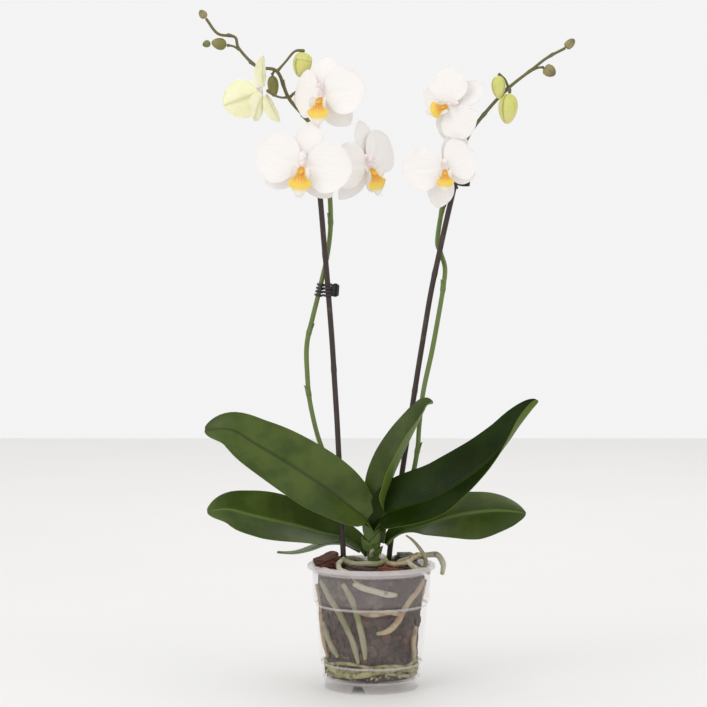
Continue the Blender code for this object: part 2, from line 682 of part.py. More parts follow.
# Flowers: where each one is (its middle, then turn to the right, lift of the face and lean to the right in
# degrees, then size), its sepals, its petals and its lip
FLOWERS = {
    "flower_a": (
        (mm(-47, -12, 561), -18, -2, 2, 0.97),
        sepals(dorsal=(2, -15), right=(140, -18), left=(262, -22), half_width=14.0),
        petals(left=(-88, -8, 27), right=(79, -4, 40)), LIP,
    ),
    "flower_b": (
        (mm(-65, -22, 495), -4, -2, 18, 1.03),
        sepals(dorsal=(-4, -6), right=(122, -12), left=(226, -12), length=37.0),
        petals(left=(-92, 4, 41), right=(80, 4, 43)), LIP,
    ),
    "flower_c": (
        (mm(-3, 6, 495), 36, -8, -18, 0.95),
        sepals(dorsal=(-4, -22), right=(150, -24), left=(222, -22), length=40.0),
        petals(left=(-74, -12, 38), right=(66, -10, 39)), LIP,
    ),
    "flower_d": (
        (mm(-104, -8, 564), -115, -14, 0, 1.08),
        sepals(dorsal=(0, -8), right=(148, 20), left=(208, 2), length=27.0, half_width=10.5, cup=2.0),
        petals(left=(-90, 44, 27), right=(106, 50, 33), half_width=16.5, bend=2.0), CLOSED_LIP,
    ),
    "flower_e": (
        (mm(75, -10, 551), -26, -6, 74, 0.88),
        sepals(dorsal=(-16, -10), right=(128, -14), left=(216, -12), length=38.0),
        petals(left=(-76, 2, 38), right=(78, 2, 36), half_width=21.5), LIP,
    ),
    "flower_f": (
        (mm(69, -14, 492), 2, -2, 0, 0.96),
        sepals(dorsal=(30, -18), right=(100, -34), left=(188, -14), length=38.0),
        petals(left=(-94, 0, 39), right=(62, -4, 30), half_width=21.0), LIP,
    ),
}


def facing(centre, turn, lift, lean, size):
    """The matrix of a flower's own frame: X to its right, Y up its face and Z out of its face."""
    turn, lift, lean = (math.radians(value) for value in (turn, lift, lean))
    front = Vector(
        (math.sin(turn) * math.cos(lift), -math.cos(turn) * math.cos(lift), math.sin(lift))
    )
    level = Vector((math.cos(turn), math.sin(turn), 0.0))
    upward = front.cross(level)
    right = level * math.cos(lean) - upward * math.sin(lean)
    top = upward * math.cos(lean) + level * math.sin(lean)
    frame = Matrix((right, top, front)).transposed().to_4x4()
    return Matrix.Translation(centre) @ frame @ Matrix.Scale(size, 4)


def make_flower(name, place, outer, inner, lip, materials, part):
    """Sepals behind, two petals in front of them, and the lip with the column in the middle."""
    pieces = {
        "sepals": (outer, -1.8, materials["petal"]),
        "petal_left": (inner[:1], 0.2, materials["petal"]),
        "petal_right": (inner[1:], 0.2, materials["petal"]),
        "lip": (lip, 2.6, materials["lip"]),
    }
    matrix = facing(*place)
    for piece, (lobes, depth, material) in pieces.items():
        full = f"{name}_{piece}"
        made = new_object(full, whorl_mesh(full, lobes, depth), material, part)
        made.matrix_world = matrix
        solidify(made, TEPAL_THICKNESS)


# ---------------------------------------------------------------- clips

CLIP_WALL = 0.0012
CLIP_ROOM = GAP + 0.0001

# Clips: height, where they hold the stake and the spike, and the finger tab's middle, size and turns
CLIPS = {
    "clip_left": (
        0.0135, "stake_left", 0.376, "spike_left", 0.376, mm(-34.8, 9, 376), mm(5.5, 1.6, 13), (0, 4, -28),
    ),
    "clip_right": (
        0.0070, "stake_right", 0.4765, "spike_right", 0.4765, mm(88, 21, 479), mm(13, 1.6, 7), (0, 6, 6),
    ),
}


def cylinder(name, centre, along, radius, depth, material, collection):
    bm = bmesh.new()
    bmesh.ops.create_cone(bm, cap_ends=True, segments=12, radius1=radius, radius2=radius, depth=depth)
    made = new_object(name, mesh_from(bm, name), material, collection)
    turn = along.to_track_quat("Z", "Y").to_matrix().to_4x4()
    made.matrix_world = Matrix.Translation(centre) @ turn
    return made


def crossing(route, height):
    """Where a route passes a height, and its direction there."""
    points = smooth(list(route), 8)
    for low, high in zip(points, points[1:]):
        if low.z <= height < high.z:
            share = (height - low.z) / (high.z - low.z)
            return low.lerp(high, share), (high - low).normalized()
    raise ValueError(f"the route never passes {height}")


def join_shape(body, extra):
    union = body.modifiers.new(extra.name, "BOOLEAN")
    union.operation = "UNION"
    union.object = make_cutter(extra)


def cut_shape(body, cutter):
    cut = body.modifiers.new(cutter.name, "BOOLEAN")
    cut.operation = "DIFFERENCE"
    cut.object = make_cutter(cutter)


def make_clips(material, part, helpers):
    """Sprung clips: one ring round the stake, one round the spike, and a finger tab beside them."""
    routes = {**STAKES, "spike_left": LEFT_SPIKE, "spike_right": RIGHT_SPIKE}
    for name, (height, stake, stake_z, spike, spike_z, tab_at, tab_size, tab_turn) in CLIPS.items():
        at, along = crossing(routes[stake], stake_z)
        other_at, other_along = crossing(routes[spike], spike_z)
        bores = ((at, along, STAKE_RADIUS + CLIP_ROOM), (other_at, other_along, SPIKE_RADIUS + CLIP_ROOM))
        body = cylinder(name, at, along, bores[0][2] + CLIP_WALL, height, material, part)
        ring = cylinder(
            f"{name}_ring", other_at, other_along, bores[1][2] + CLIP_WALL, height * 0.9, None, helpers
        )
        join_shape(body, ring)
        for label, middle, size, turns in (
            ("tab", tab_at, tab_size, tab_turn),
            ("bridge", (at + other_at) / 2, Vector((CLIP_WALL, (at - other_at).length, height * 0.8)), None),
        ):
            bm = bmesh.new()
            bmesh.ops.create_cube(bm, size=1.0)
            bmesh.ops.scale(bm, vec=size, verts=bm.verts[:])
            block = new_object(f"{name}_{label}", mesh_from(bm, label), None, helpers)
            block.location = middle
            if turns is None:
                flat = (at - other_at).xy
                block.rotation_euler.z = math.atan2(-flat.x, flat.y)
            else:
                block.rotation_euler = [math.radians(degrees) for degrees in turns]
            join_shape(body, block)
        for index, (middle, direction, radius) in enumerate(bores):
            cut_shape(body, cylinder(f"{name}_bore_{index}", middle, direction, radius, 0.04, None, helpers))


def main():
    clear_scene()
    part = new_collection(PART)
    pot_cutters = new_collection("pot_cutters")
    mix_cutters = new_collection("mix_cutters")
    helpers = new_collection("helpers")
    plastic = new_material("clear_plastic", (0.62, 0.60, 0.60), 0.25, 0.4)
    mix = new_material("bark_mix", (0.045, 0.028, 0.020), 0.95)
    bark = new_material("bark", (0.10, 0.035, 0.022), 0.85)
    root = new_material("root", (0.42, 0.42, 0.30), 0.75)
    leaf = new_material("leaf", (0.055, 0.115, 0.025), 0.35)
    stem = new_material("stem", (0.14, 0.22, 0.05), 0.45)
    bud = new_material("bud", (0.42, 0.47, 0.10), 0.5)
    stake = new_material("stake", (0.045, 0.030, 0.025), 0.6)
    clip = new_material("clip", (0.02, 0.018, 0.02), 0.4)
    flower = {
        "petal": new_material("petal", (0.88, 0.85, 0.83), 0.55),
        "lip": new_material("lip", (0.90, 0.55, 0.05), 0.5),
    }

    make_pot(plastic, part, pot_cutters)
    make_roots(root, part, mix_cutters)
    make_stakes(stake, part, mix_cutters)
    make_bark(bark, part, mix_cutters)
    make_crown(stem, part, mix_cutters)
    make_mix(mix, part, mix_cutters)
    make_leaves(leaf, part)
    make_spike("spike_left", LEFT_SPIKE, LEFT_STALKS, stem, part, helpers)
    make_spike("spike_right", RIGHT_SPIKE, RIGHT_STALKS, stem, part, helpers)
    make_buds(bud, part)
    for name, shape in FLOWERS.items():
        make_flower(name, *shape, flower, part)
    make_clips(clip, part, helpers)


if __name__ == "__main__":
    main()
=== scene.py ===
"""A potted moth orchid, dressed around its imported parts.

Metres, +Z up. The origin is on the pot's axis where the pot stands, and the plant's front faces -Y. Routes
and outlines of the plant are written in millimetres and turned into metres by mm().
"""

from __future__ import annotations

import json
import logging
import math
import random
from collections.abc import Callable, Sequence
from dataclasses import dataclass, field
from enum import Enum
from typing import Any

import bpy
import bmesh
from mathutils import Matrix, Vector, noise

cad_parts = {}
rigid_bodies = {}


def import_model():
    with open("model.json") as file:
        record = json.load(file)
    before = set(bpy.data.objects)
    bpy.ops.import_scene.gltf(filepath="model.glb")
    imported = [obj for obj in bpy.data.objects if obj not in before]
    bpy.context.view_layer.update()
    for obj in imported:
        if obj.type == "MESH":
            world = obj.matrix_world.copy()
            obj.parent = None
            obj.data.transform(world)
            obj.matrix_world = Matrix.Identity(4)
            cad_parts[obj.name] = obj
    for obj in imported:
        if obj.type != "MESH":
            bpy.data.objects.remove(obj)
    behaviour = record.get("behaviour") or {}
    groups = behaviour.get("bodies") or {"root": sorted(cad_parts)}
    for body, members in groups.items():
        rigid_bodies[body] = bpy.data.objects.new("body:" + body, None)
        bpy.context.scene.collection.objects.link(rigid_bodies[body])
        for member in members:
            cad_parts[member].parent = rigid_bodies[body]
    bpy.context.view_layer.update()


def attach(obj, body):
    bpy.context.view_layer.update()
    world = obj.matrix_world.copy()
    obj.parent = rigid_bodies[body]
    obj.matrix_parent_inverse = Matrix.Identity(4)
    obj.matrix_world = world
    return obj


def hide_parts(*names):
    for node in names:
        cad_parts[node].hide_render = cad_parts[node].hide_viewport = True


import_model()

log = logging.getLogger("orchid")
BODY = "root"
UP = Vector((0.0, 0.0, 1.0))
MM = 0.001
Value = Any
Colour = tuple[float, float, float]
Outline = Sequence[tuple[float, float]]


# ---------------------------------------------------------------- lines and surfaces


def mm(*values: float) -> Vector:
    """A point or a vector written in millimetres."""
    return Vector(values) * MM


def paint(red: int, green: int, blue: int) -> Colour:
    """A colour as on a paint card, 0 to 255, as the linear values that a shader takes.

    Args:
        red: how much red.
        green: how much green.
        blue: how much blue.

    Returns:
        The linear parts.
    """
    return tuple(
        c / 12.92 if c <= 0.04045 else ((c + 0.055) / 1.055) ** 2.4
        for c in (red / 255, green / 255, blue / 255)
    )


def ease(low: float, high: float, value: float) -> float:
    """A smooth step from 0 at low to 1 at high."""
    share = min(max((value - low) / (high - low), 0.0), 1.0)
    return share * share * (3.0 - 2.0 * share)


def spread(values: Sequence[Any], share: float) -> Any:
    """The value at this share of the way along an evenly spaced list.

    Args:
        values: numbers or vectors.
        share: how far along, 0 to 1.

    Returns:
        The value there.
    """
    at = min(max(share, 0.0), 1.0) * (len(values) - 1)
    k = min(int(at), len(values) - 2)
    return values[k] + (values[k + 1] - values[k]) * (at - k)


def smooth(points: Sequence[Vector], steps: int) -> list[Vector]:
    """A Catmull-Rom curve through the points.

    Args:
        points: the points that the curve passes through.
        steps: how many steps each stretch between two points takes.

    Returns:
        The points of the curve, ends included.
    """
    ends = [2 * points[0] - points[1], *points, 2 * points[-1] - points[-2]]
    curve = []
    for i in range(len(points) - 1):
        a, b, c, d = ends[i : i + 4]
        for k in range(steps):
            t = k / steps
            curve.append(
                0.5 * (2 * b + (c - a) * t + (2 * a - 5 * b + 4 * c - d) * t * t
                       + (3 * b - a - 3 * c + d) * t ** 3)
            )
    curve.append(points[-1].copy())
    return curve


def even(points: Sequence[Vector], count: int) -> list[Vector]:
    """The same line again, as this many points at even distances.

    Args:
        points: the line's points.
        count: how many points it gets.

    Returns:
        The new points.
    """
    lengths = [0.0]
    for first, second in zip(points, points[1:]):
        lengths.append(lengths[-1] + (second - first).length)
    made, k = [], 0
    for i in range(count):
        target = lengths[-1] * i / (count - 1)
        while k < len(points) - 2 and lengths[k + 1] < target:
            k += 1
        span = max(lengths[k + 1] - lengths[k], 1e-9)
        made.append(points[k].lerp(points[k + 1], min((target - lengths[k]) / span, 1.0)))
    return made


def rough(place: Vector, scale: float, seed: float = 0.0) -> float:
    """Smooth noise from -1 to 1 at a place, for a feature size of about 1 / scale metres."""
    return noise.noise(place * scale + Vector((seed, -seed, 2.0 * seed)))


@dataclass
class Surface:
    """A mesh in the making, whose points carry the values that a finish reads."""

    name: str
    points: list[Vector] = field(default_factory=list)
    faces: list[tuple[int, ...]] = field(default_factory=list)
    marks: dict[str, list[float]] = field(default_factory=dict)

    def point(self, place: Vector, **marks: float) -> int:
        """Adds a point.

        Args:
            place: where it is.
            marks: the values it carries, by name.

        Returns:
            Its index.
        """
        for name in marks:
            if name not in self.marks:
                self.marks[name] = [0.0] * len(self.points)
        for name, values in self.marks.items():
            values.append(marks.get(name, 0.0))
        self.points.append(place.copy())
        return len(self.points) - 1

    def grid(self, rows: Sequence[Sequence[int]], closed: bool = False, flip: bool = False) -> None:
        """Faces between rows of points.

        Args:
            rows: rows of indices, all of one length.
            closed: whether each row is a ring.
            flip: whether the faces turn the other way.
        """
        for first, second in zip(rows, rows[1:]):
            last = len(first) if closed else len(first) - 1
            for i in range(last):
                j = (i + 1) % len(first)
                quad = (first[i], first[j], second[j], second[i])
                self.faces.append(quad[::-1] if flip else quad)

    def fan(self, ring: Sequence[int], tip: int) -> None:
        """Triangles from a ring to one point."""
        for i, first in enumerate(ring):
            self.faces.append((first, ring[(i + 1) % len(ring)], tip))

    def tube(
        self, route: Sequence[Vector], radius: Callable[[float, float], float], sides: int = 14,
        flatten: Callable[[float], float] | None = None, across: Vector | None = None,
    ) -> None:
        """A closed tube with rounded ends.

        Args:
            route: the points of its middle line.
            radius: gives the radius at a share of the length and an angle in radians.
            sides: how many points each ring has.
            flatten: gives the thickness as a share of the width, at a share of the length.
            across: the direction of the width, where the tube is flattened.
        """
        direction = (route[1] - route[0]).normalized()
        guide = across or (Vector((1, 0, 0)) if abs(direction.x) < 0.8 else Vector((0, 1, 0)))
        side = (guide - direction * guide.dot(direction)).normalized()
        rings, count = [], len(route)
        for i, place in enumerate(route):
            ahead, behind = route[min(i + 1, count - 1)], route[max(i - 1, 0)]
            direction = (ahead - behind).normalized()
            if across is not None:
                side = across
            side = (side - direction * side.dot(direction)).normalized()
            other = direction.cross(side)
            share = i / (count - 1)
            flat = flatten(share) if flatten else 1.0
            ring = []
            for k in range(sides):
                angle = math.tau * k / sides
                reach = radius(share, angle)
                spot = place + side * math.cos(angle) * reach + other * math.sin(angle) * reach * flat
                ring.append(self.point(spot, along=share))
            rings.append(ring)
        self.grid(rings, closed=True)
        for ring, at, inner in ((rings[0][::-1], route[0], route[1]), (rings[-1], route[-1], route[-2])):
            out = (at - inner).normalized() * radius(0.0 if at is route[0] else 1.0, 0.0) * 0.45
            tip = self.point(at + out, along=0.0 if at is route[0] else 1.0)
            self.fan(ring, tip)

    def shell(
        self, rows: Sequence[Sequence[Vector]], thickness: Callable[[float, float], float],
    ) -> None:
        """A closed sheet, such as a leaf or a petal, through a grid of points.

        Args:
            rows: the points of its middle, from its base to its tip.
            thickness: gives the thickness at a share of the length and a place across it, -1 to 1.
        """
        last, wide = len(rows) - 1, len(rows[0]) - 1
        layers: list[list[list[int]]] = []
        for offset, under in ((0.5, 0.0), (-0.5, 1.0)):
            layer = []
            for i, row in enumerate(rows):
                line = []
                for j, place in enumerate(row):
                    along = rows[min(i + 1, last)][j] - rows[max(i - 1, 0)][j]
                    over = row[min(j + 1, wide)] - row[max(j - 1, 0)]
                    normal = over.cross(along).normalized()
                    share, across = i / last, 2 * j / wide - 1
                    spot = place + normal * offset * thickness(share, across)
                    line.append(self.point(spot, along=share, across=across, under=under))
                layer.append(line)
            layers.append(layer)
        top, low = layers
        self.grid(top)
        self.grid(low, flip=True)
        for upper, lower in (
            (top[0][::-1], low[0][::-1]), (top[-1], low[-1]),
            ([line[0] for line in top], [line[0] for line in low]),
            ([line[-1] for line in top][::-1], [line[-1] for line in low][::-1]),
        ):
            self.grid([lower, upper])

    def made(
        self, finish: "Finish", slot: str, replaces: Sequence[str] = (), sharp: float | None = None,
    ) -> bpy.types.Object:
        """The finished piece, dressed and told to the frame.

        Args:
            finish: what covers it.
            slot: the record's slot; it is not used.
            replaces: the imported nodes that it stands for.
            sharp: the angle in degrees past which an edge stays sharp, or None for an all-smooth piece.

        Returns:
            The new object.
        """
        mesh = bpy.data.meshes.new(self.name)
        mesh.from_pydata([tuple(p) for p in self.points], [], self.faces)
        for name, values in self.marks.items():
            mesh.attributes.new(name, "FLOAT", "POINT").data.foreach_set("value", values)
        settle(mesh, sharp)
        mesh.materials.append(finish.material())
        piece = bpy.data.objects.new(self.name, mesh)
        bpy.context.scene.collection.objects.link(piece)
        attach(piece, BODY)
        if replaces:
            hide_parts(*replaces)
        log.info("%s: %d points, %s", self.name, len(mesh.vertices), finish.name)
        return piece


def settle(mesh: bpy.types.Mesh, sharp: float | None) -> None:
    """Turns a mesh's faces outwards and shades it smooth, with edges past the sharp angle kept.

    Args:
        mesh: the mesh, changed in place.
        sharp: the angle in degrees, or None to keep no edge.
    """
    bm = bmesh.new()
    bm.from_mesh(mesh)
    bmesh.ops.recalc_face_normals(bm, faces=bm.faces[:])
    bm.to_mesh(mesh)
    bm.free()
    mesh.shade_smooth()
    if sharp is not None:
        mesh.set_sharp_from_angle(angle=math.radians(sharp))


# ---------------------------------------------------------------- shader kit


class Signal:
    """A shader socket that takes part in Python expressions by adding Math nodes."""

    def __init__(self, kit: "NodeKit", socket: bpy.types.NodeSocket) -> None:
        """Keeps the socket and the tree that it belongs to."""
        self.kit = kit
        self.socket = socket

    def _math(self, operation: str, *values: Value, clamp: bool = False) -> "Signal":
        """A Math node on these values."""
        settings = {"operation": operation, "use_clamp": clamp}
        return self.kit.node("ShaderNodeMath", settings, dict(enumerate(values)))

    def __add__(self, other: Value) -> "Signal":
        """The sum."""
        return self._math("ADD", self, other)

    __radd__ = __add__

    def __sub__(self, other: Value) -> "Signal":
        """The difference."""
        return self._math("SUBTRACT", self, other)

    def __rsub__(self, other: Value) -> "Signal":
        """The difference, turned round."""
        return self._math("SUBTRACT", other, self)

    def __mul__(self, other: Value) -> "Signal":
        """The product."""
        return self._math("MULTIPLY", self, other)

    __rmul__ = __mul__

    def __abs__(self) -> "Signal":
        """The size without its sign."""
        return self._math("ABSOLUTE", self)

    def part(self) -> "Signal":
        """The part after the decimal point."""
        return self._math("FRACT", self)

    def held(self) -> "Signal":
        """The value kept between 0 and 1."""
        return self._math("ADD", self, 0.0, clamp=True)

    def step(self, low: float, high: float) -> "Signal":
        """A smooth step from 0 at low to 1 at high."""
        inputs = {"Value": self, "From Min": low, "From Max": high, "To Min": 0.0, "To Max": 1.0}
        return self.kit.node("ShaderNodeMapRange", {"interpolation_type": "SMOOTHSTEP"}, inputs)


class NodeKit:
    """The node tree of one material, around its Principled shader."""

    def __init__(self, name: str) -> None:
        """Makes the material.

        Args:
            name: the material's name.
        """
        self.material = bpy.data.materials.new(name)
        self.material.use_nodes = True
        self.tree = self.material.node_tree
        self.shader = self.tree.nodes["Principled BSDF"]

    def _feed(self, socket: bpy.types.NodeSocket, value: Value) -> None:
        """Links a signal to a socket, or sets the socket's own value.

        Args:
            socket: the socket.
            value: a signal, a number or a colour.
        """
        if isinstance(value, Signal):
            self.tree.links.new(value.socket, socket)
        elif socket.type == "RGBA" and len(value) == 3:
            socket.default_value = (*value, 1.0)
        else:
            socket.default_value = value

    def node(
        self, kind: str, settings: dict[str, Any] | None = None, inputs: dict[Any, Value] | None = None,
        output: int | str = 0,
    ) -> Signal:
        """Adds any node.

        Args:
            kind: the node's type.
            settings: its settings, or a ramp's stops, which are set before its sockets.
            inputs: values or signals for its sockets, by name or number.
            output: which of its outputs is wanted.

        Returns:
            That output.
        """
        made = self.tree.nodes.new(kind)
        for key, value in (settings or {}).items():
            if key == "stops":
                self._stops(made.color_ramp, value)
            else:
                setattr(made, key, value)
        for key, value in (inputs or {}).items():
            self._feed(made.inputs[key], value)
        return Signal(self, made.outputs[output])

    @staticmethod
    def _stops(ramp: bpy.types.ColorRamp, stops: Sequence[tuple[float, Colour]]) -> None:
        """Sets the stops of a colour ramp.

        Args:
            ramp: the ramp.
            stops: places and colours.
        """
        while len(ramp.elements) < len(stops):
            ramp.elements.new(0.5)
        for element, (position, colour) in zip(ramp.elements, stops):
            element.position = position
            element.color = (*colour, 1.0)

    def set(self, **values: Value) -> None:
        """Values or signals for the shader's sockets, with _ for each space in a name."""
        for name, value in values.items():
            self._feed(self.shader.inputs[name.replace("_", " ")], value)

    def mark(self, name: str) -> Signal:
        """A value that the mesh's points carry."""
        return self.node("ShaderNodeAttribute", {"attribute_name": name}, output="Fac")

    def place(self) -> Signal:
        """The place on the object, in metres."""
        return self.node("ShaderNodeTexCoord", output="Object")

    def stretched(self, scale: Colour) -> Signal:
        """The place on the object, scaled by a different number along each axis."""
        return self.node("ShaderNodeVectorMath", {"operation": "MULTIPLY"}, {0: self.place(), 1: scale})

    def height(self) -> Signal:
        """The height above the table, in metres."""
        return self.node("ShaderNodeSeparateXYZ", None, {0: self.place()}, "Z")

    def noise(self, scale: float, detail: float = 3.0, at: Signal | None = None) -> Signal:
        """Cloudy noise, about 0.5."""
        inputs = {"Vector": at or self.place(), "Scale": scale, "Detail": detail, "Roughness": 0.55}
        return self.node("ShaderNodeTexNoise", None, inputs)

    def cells(self, scale: float, output: str = "Distance") -> Signal:
        """Cells: the distance to the nearest middle, or another of the texture's outputs."""
        return self.node("ShaderNodeTexVoronoi", None, {"Vector": self.place(), "Scale": scale}, output)

    def cell_shade(self, scale: float) -> Signal:
        """A different even value in each cell."""
        return self.node("ShaderNodeSeparateColor", None, {0: self.cells(scale, "Color")}, 0)

    def blend(self, factor: Value, first: Value, second: Value) -> Signal:
        """A colour between two, for a factor from 0 to 1."""
        return self.node("ShaderNodeMix", {"data_type": "RGBA"}, {0: factor, 6: first, 7: second}, 2)

    def ramp(self, factor: Signal, *stops: tuple[float, Colour]) -> Signal:
        """A colour from a ramp."""
        return self.node("ShaderNodeValToRGB", {"stops": stops}, {0: factor})

    def relief(self, height: Signal, depth: float, strength: float = 1.0) -> None:
        """Fine relief on the surface, this many metres deep."""
        inputs = {"Height": height, "Distance": depth, "Strength": strength}
        self.set(Normal=self.node("ShaderNodeBump", None, inputs))


# ---------------------------------------------------------------- finishes


@dataclass(frozen=True)
class Finish:
    """What every finish shares: a name, and painting its material once."""

    name: str

    def material(self) -> bpy.types.Material:
        """The material of this finish, made the first time that it is asked for.

        Returns:
            The material.
        """
        kept = bpy.data.materials.get(self.name)
        if kept is None:
            kit = NodeKit(self.name)
            self.dress(kit)
            kept = kit.material
        return kept

    def dress(self, kit: NodeKit) -> None:
        """Lays the finish on; each kind of finish says how."""
        raise NotImplementedError


@dataclass(frozen=True)
class PotPlastic(Finish):
    """Thin clear plastic with scratches, damp and dust, milkier at the collar and at the mould lines."""

    name: str = "clear_pot_plastic"
    colour: Colour = paint(214, 206, 206)
    dust: Colour = paint(232, 226, 222)
    clear: float = 0.034
    collar: float = 0.085

    def dress(self, kit: NodeKit) -> None:
        """Cloudy alpha with streaks that run down the wall.

        Args:
            kit: the material's nodes.
        """
        streaks = kit.noise(60.0, 4.0, kit.stretched((1.0, 1.0, 0.12)))
        clouds = kit.noise(38.0, 3.0).step(0.35, 0.75)
        specks = kit.cells(900.0).step(0.30, 0.12) * kit.noise(90.0).step(0.52, 0.66)
        high = kit.height().step(self.collar - 0.006, self.collar)
        edge = kit.mark("edge")
        alpha = self.clear + clouds * 0.02 + streaks.step(0.5, 0.75) * 0.02 + high * 0.065 + edge * 0.40
        kit.set(
            Base_Color=kit.blend((clouds * 0.6 + specks * 0.6).held(), self.colour, self.dust),
            Roughness=streaks * 0.16 + 0.10 + specks * 0.3,
            Alpha=(alpha + specks * 0.12).held(),
            Specular_IOR_Level=1.0,
            IOR=1.52,
        )
        kit.relief(kit.noise(45.0, 2.0), 0.0006, 0.35)


@dataclass(frozen=True)
class MixFinish(Finish):
    """Damp bark mix: dark crumbs with red-brown and grey-green pieces among them."""

    name: str = "damp_bark_mix"
    dark: Colour = paint(34, 22, 16)
    brown: Colour = paint(70, 44, 30)
    pale: Colour = paint(104, 86, 60)

    def dress(self, kit: NodeKit) -> None:
        """Crumbs from cells of two sizes.

        Args:
            kit: the material's nodes.
        """
        shade = kit.cell_shade(230.0)
        grain = kit.noise(900.0, 4.0)
        colour = kit.ramp(shade, (0.0, self.dark), (0.55, self.brown), (0.8, self.dark), (1.0, self.pale))
        kit.set(
            Base_Color=kit.blend(grain.step(0.35, 0.7) * 0.5, colour, self.dark),
            Roughness=grain * 0.35 + 0.55,
        )
        kit.relief(kit.cells(230.0) + grain * 0.3, 0.0016, 0.9)


@dataclass(frozen=True)
class BarkFinish(Finish):
    """Split pine bark: layers and fibres along the piece, with darker ones between."""

    name: str = "pine_bark"
    deep: Colour = paint(30, 15, 12)
    red: Colour = paint(84, 44, 32)
    light: Colour = paint(140, 94, 72)
    layers: float = 420.0

    def dress(self, kit: NodeKit) -> None:
        """Stretched noise for the fibres and a wave for the layers.

        Args:
            kit: the material's nodes.
        """
        fibres = kit.noise(1.0, 5.0, kit.stretched((260.0, 900.0, 900.0)))
        bands = kit.noise(1.0, 3.0, kit.stretched((60.0, 60.0, self.layers)))
        tone = fibres * 0.55 + bands * 0.5
        colour = kit.ramp(tone, (0.30, self.deep), (0.52, self.red), (0.74, self.light))
        kit.set(Base_Color=colour, Roughness=bands * 0.3 + 0.55)
        kit.relief(fibres * 0.5 + bands, 0.0012, 0.9)


@dataclass(frozen=True)
class RootFinish(Finish):
    """A root's spongy coat: silvery where it is dry, green where it is damp, brown where it is old."""

    name: str = "root_coat"
    dry: Colour = paint(186, 180, 158)
    damp: Colour = paint(132, 140, 84)
    old: Colour = paint(120, 92, 66)
    damp_from: float = 0.52
    damp_to: float = 0.62
    worn_from: float = 0.56
    tip: Colour = paint(150, 160, 90)

    def dress(self, kit: NodeKit) -> None:
        """Patches along the root, with fine lengthwise wrinkles.

        Args:
            kit: the material's nodes.
        """
        patches = kit.noise(55.0, 3.0).step(self.damp_from, self.damp_to)
        worn = kit.noise(120.0, 4.0).step(self.worn_from, self.worn_from + 0.16)
        wrinkles = kit.noise(1.0, 3.0, kit.stretched((900.0, 900.0, 260.0)))
        colour = kit.blend(patches, self.dry, self.damp)
        colour = kit.blend(worn * 0.75, colour, self.old)
        colour = kit.blend(kit.mark("along").step(0.93, 1.0), colour, self.tip)
        kit.set(Base_Color=colour, Roughness=wrinkles * 0.3 + 0.5)
        kit.relief(wrinkles + kit.noise(400.0) * 0.8, 0.0005, 0.8)


@dataclass(frozen=True)
class LeafFinish(Finish):
    """A fleshy leaf: glossy above and paler beneath, with fine veins beside a grooved midrib; painted shade
    darkens its base and, on most leaves, its midrib, and a painted highlight lightens its rim.
    """

    name: str = "leaf_skin"
    deep: Colour = paint(56, 72, 24)
    fresh: Colour = paint(76, 92, 36)
    # Painted shade: the dark colour near the blade's base, where the crown shades it
    base: Colour = paint(34, 48, 8)
    beneath: Colour = paint(98, 122, 46)
    # Painted shade in the midrib's groove; the pale-rib copy gives a paler midrib instead
    midrib: Colour = paint(30, 42, 10)
    shine: float = 0.22
    midrib_strength: float = 0.6
    veins: float = 34.0

    def dress(self, kit: NodeKit) -> None:
        """Veins across the blade, the midrib down its middle with painted shade in its groove, painted shade
        towards the base and a lighter rim that is a painted highlight.

        Args:
            kit: the material's nodes.
        """
        along, across, under = kit.mark("along"), kit.mark("across"), kit.mark("under")
        clouds = kit.noise(28.0, 4.0)
        fine = kit.noise(260.0, 3.0)
        vein = abs((across * self.veins * 0.5 + clouds * 0.6).part() - 0.5) * 2.0
        middle = abs(across).step(0.075, 0.0)
        # Painted highlight: the blade's margin catching light
        rim = abs(across).step(0.965, 1.0)
        colour = kit.blend(clouds.step(0.38, 0.66), self.deep, self.fresh)
        # Painted shade towards the base of the blade, by the crown
        colour = kit.blend(along.step(0.20, 0.0), colour, self.base)
        colour = kit.blend(vein.step(0.55, 0.95) * 0.07, colour, self.beneath)
        # The midrib stripe: painted shade in its groove, except where a finish gives a pale midrib
        colour = kit.blend(middle * self.midrib_strength, colour, self.midrib)
        colour = kit.blend(rim * 0.55, colour, self.beneath)
        pale = kit.blend(vein.step(0.4, 0.9) * 0.25, self.beneath, self.fresh)
        kit.set(
            Base_Color=kit.blend(under, colour, pale),
            Roughness=fine * 0.10 + clouds * 0.12 + under * 0.18 + 0.22,
            Specular_IOR_Level=self.shine,
        )
        kit.relief(vein * 0.15 + fine * 0.4 + clouds * 1.2, 0.0004, 0.45)


@dataclass(frozen=True)
class StemFinish(Finish):
    """A stem's skin: one colour low down and another high up, with faint streaks and specks."""

    name: str
    low: Colour
    high: Colour
    turn_from: float
    turn_to: float
    spots: Colour = paint(92, 62, 48)

    def dress(self, kit: NodeKit) -> None:
        """A change of colour with height, streaks along the stem and small corky specks.

        Args:
            kit: the material's nodes.
        """
        streaks = kit.noise(1.0, 4.0, kit.stretched((520.0, 520.0, 60.0)))
        climb = (kit.height() + streaks * 0.012).step(self.turn_from, self.turn_to)
        specks = kit.cells(420.0).step(0.22, 0.08) * kit.noise(70.0).step(0.5, 0.6)
        colour = kit.blend(climb, self.low, self.high)
        colour = kit.blend(streaks.step(0.45, 0.75) * 0.35, colour, self.spots)
        kit.set(
            Base_Color=kit.blend(specks * 0.6, colour, self.spots),
            Roughness=streaks * 0.25 + 0.32,
        )
        kit.relief(streaks + specks * 0.4, 0.0004, 0.6)


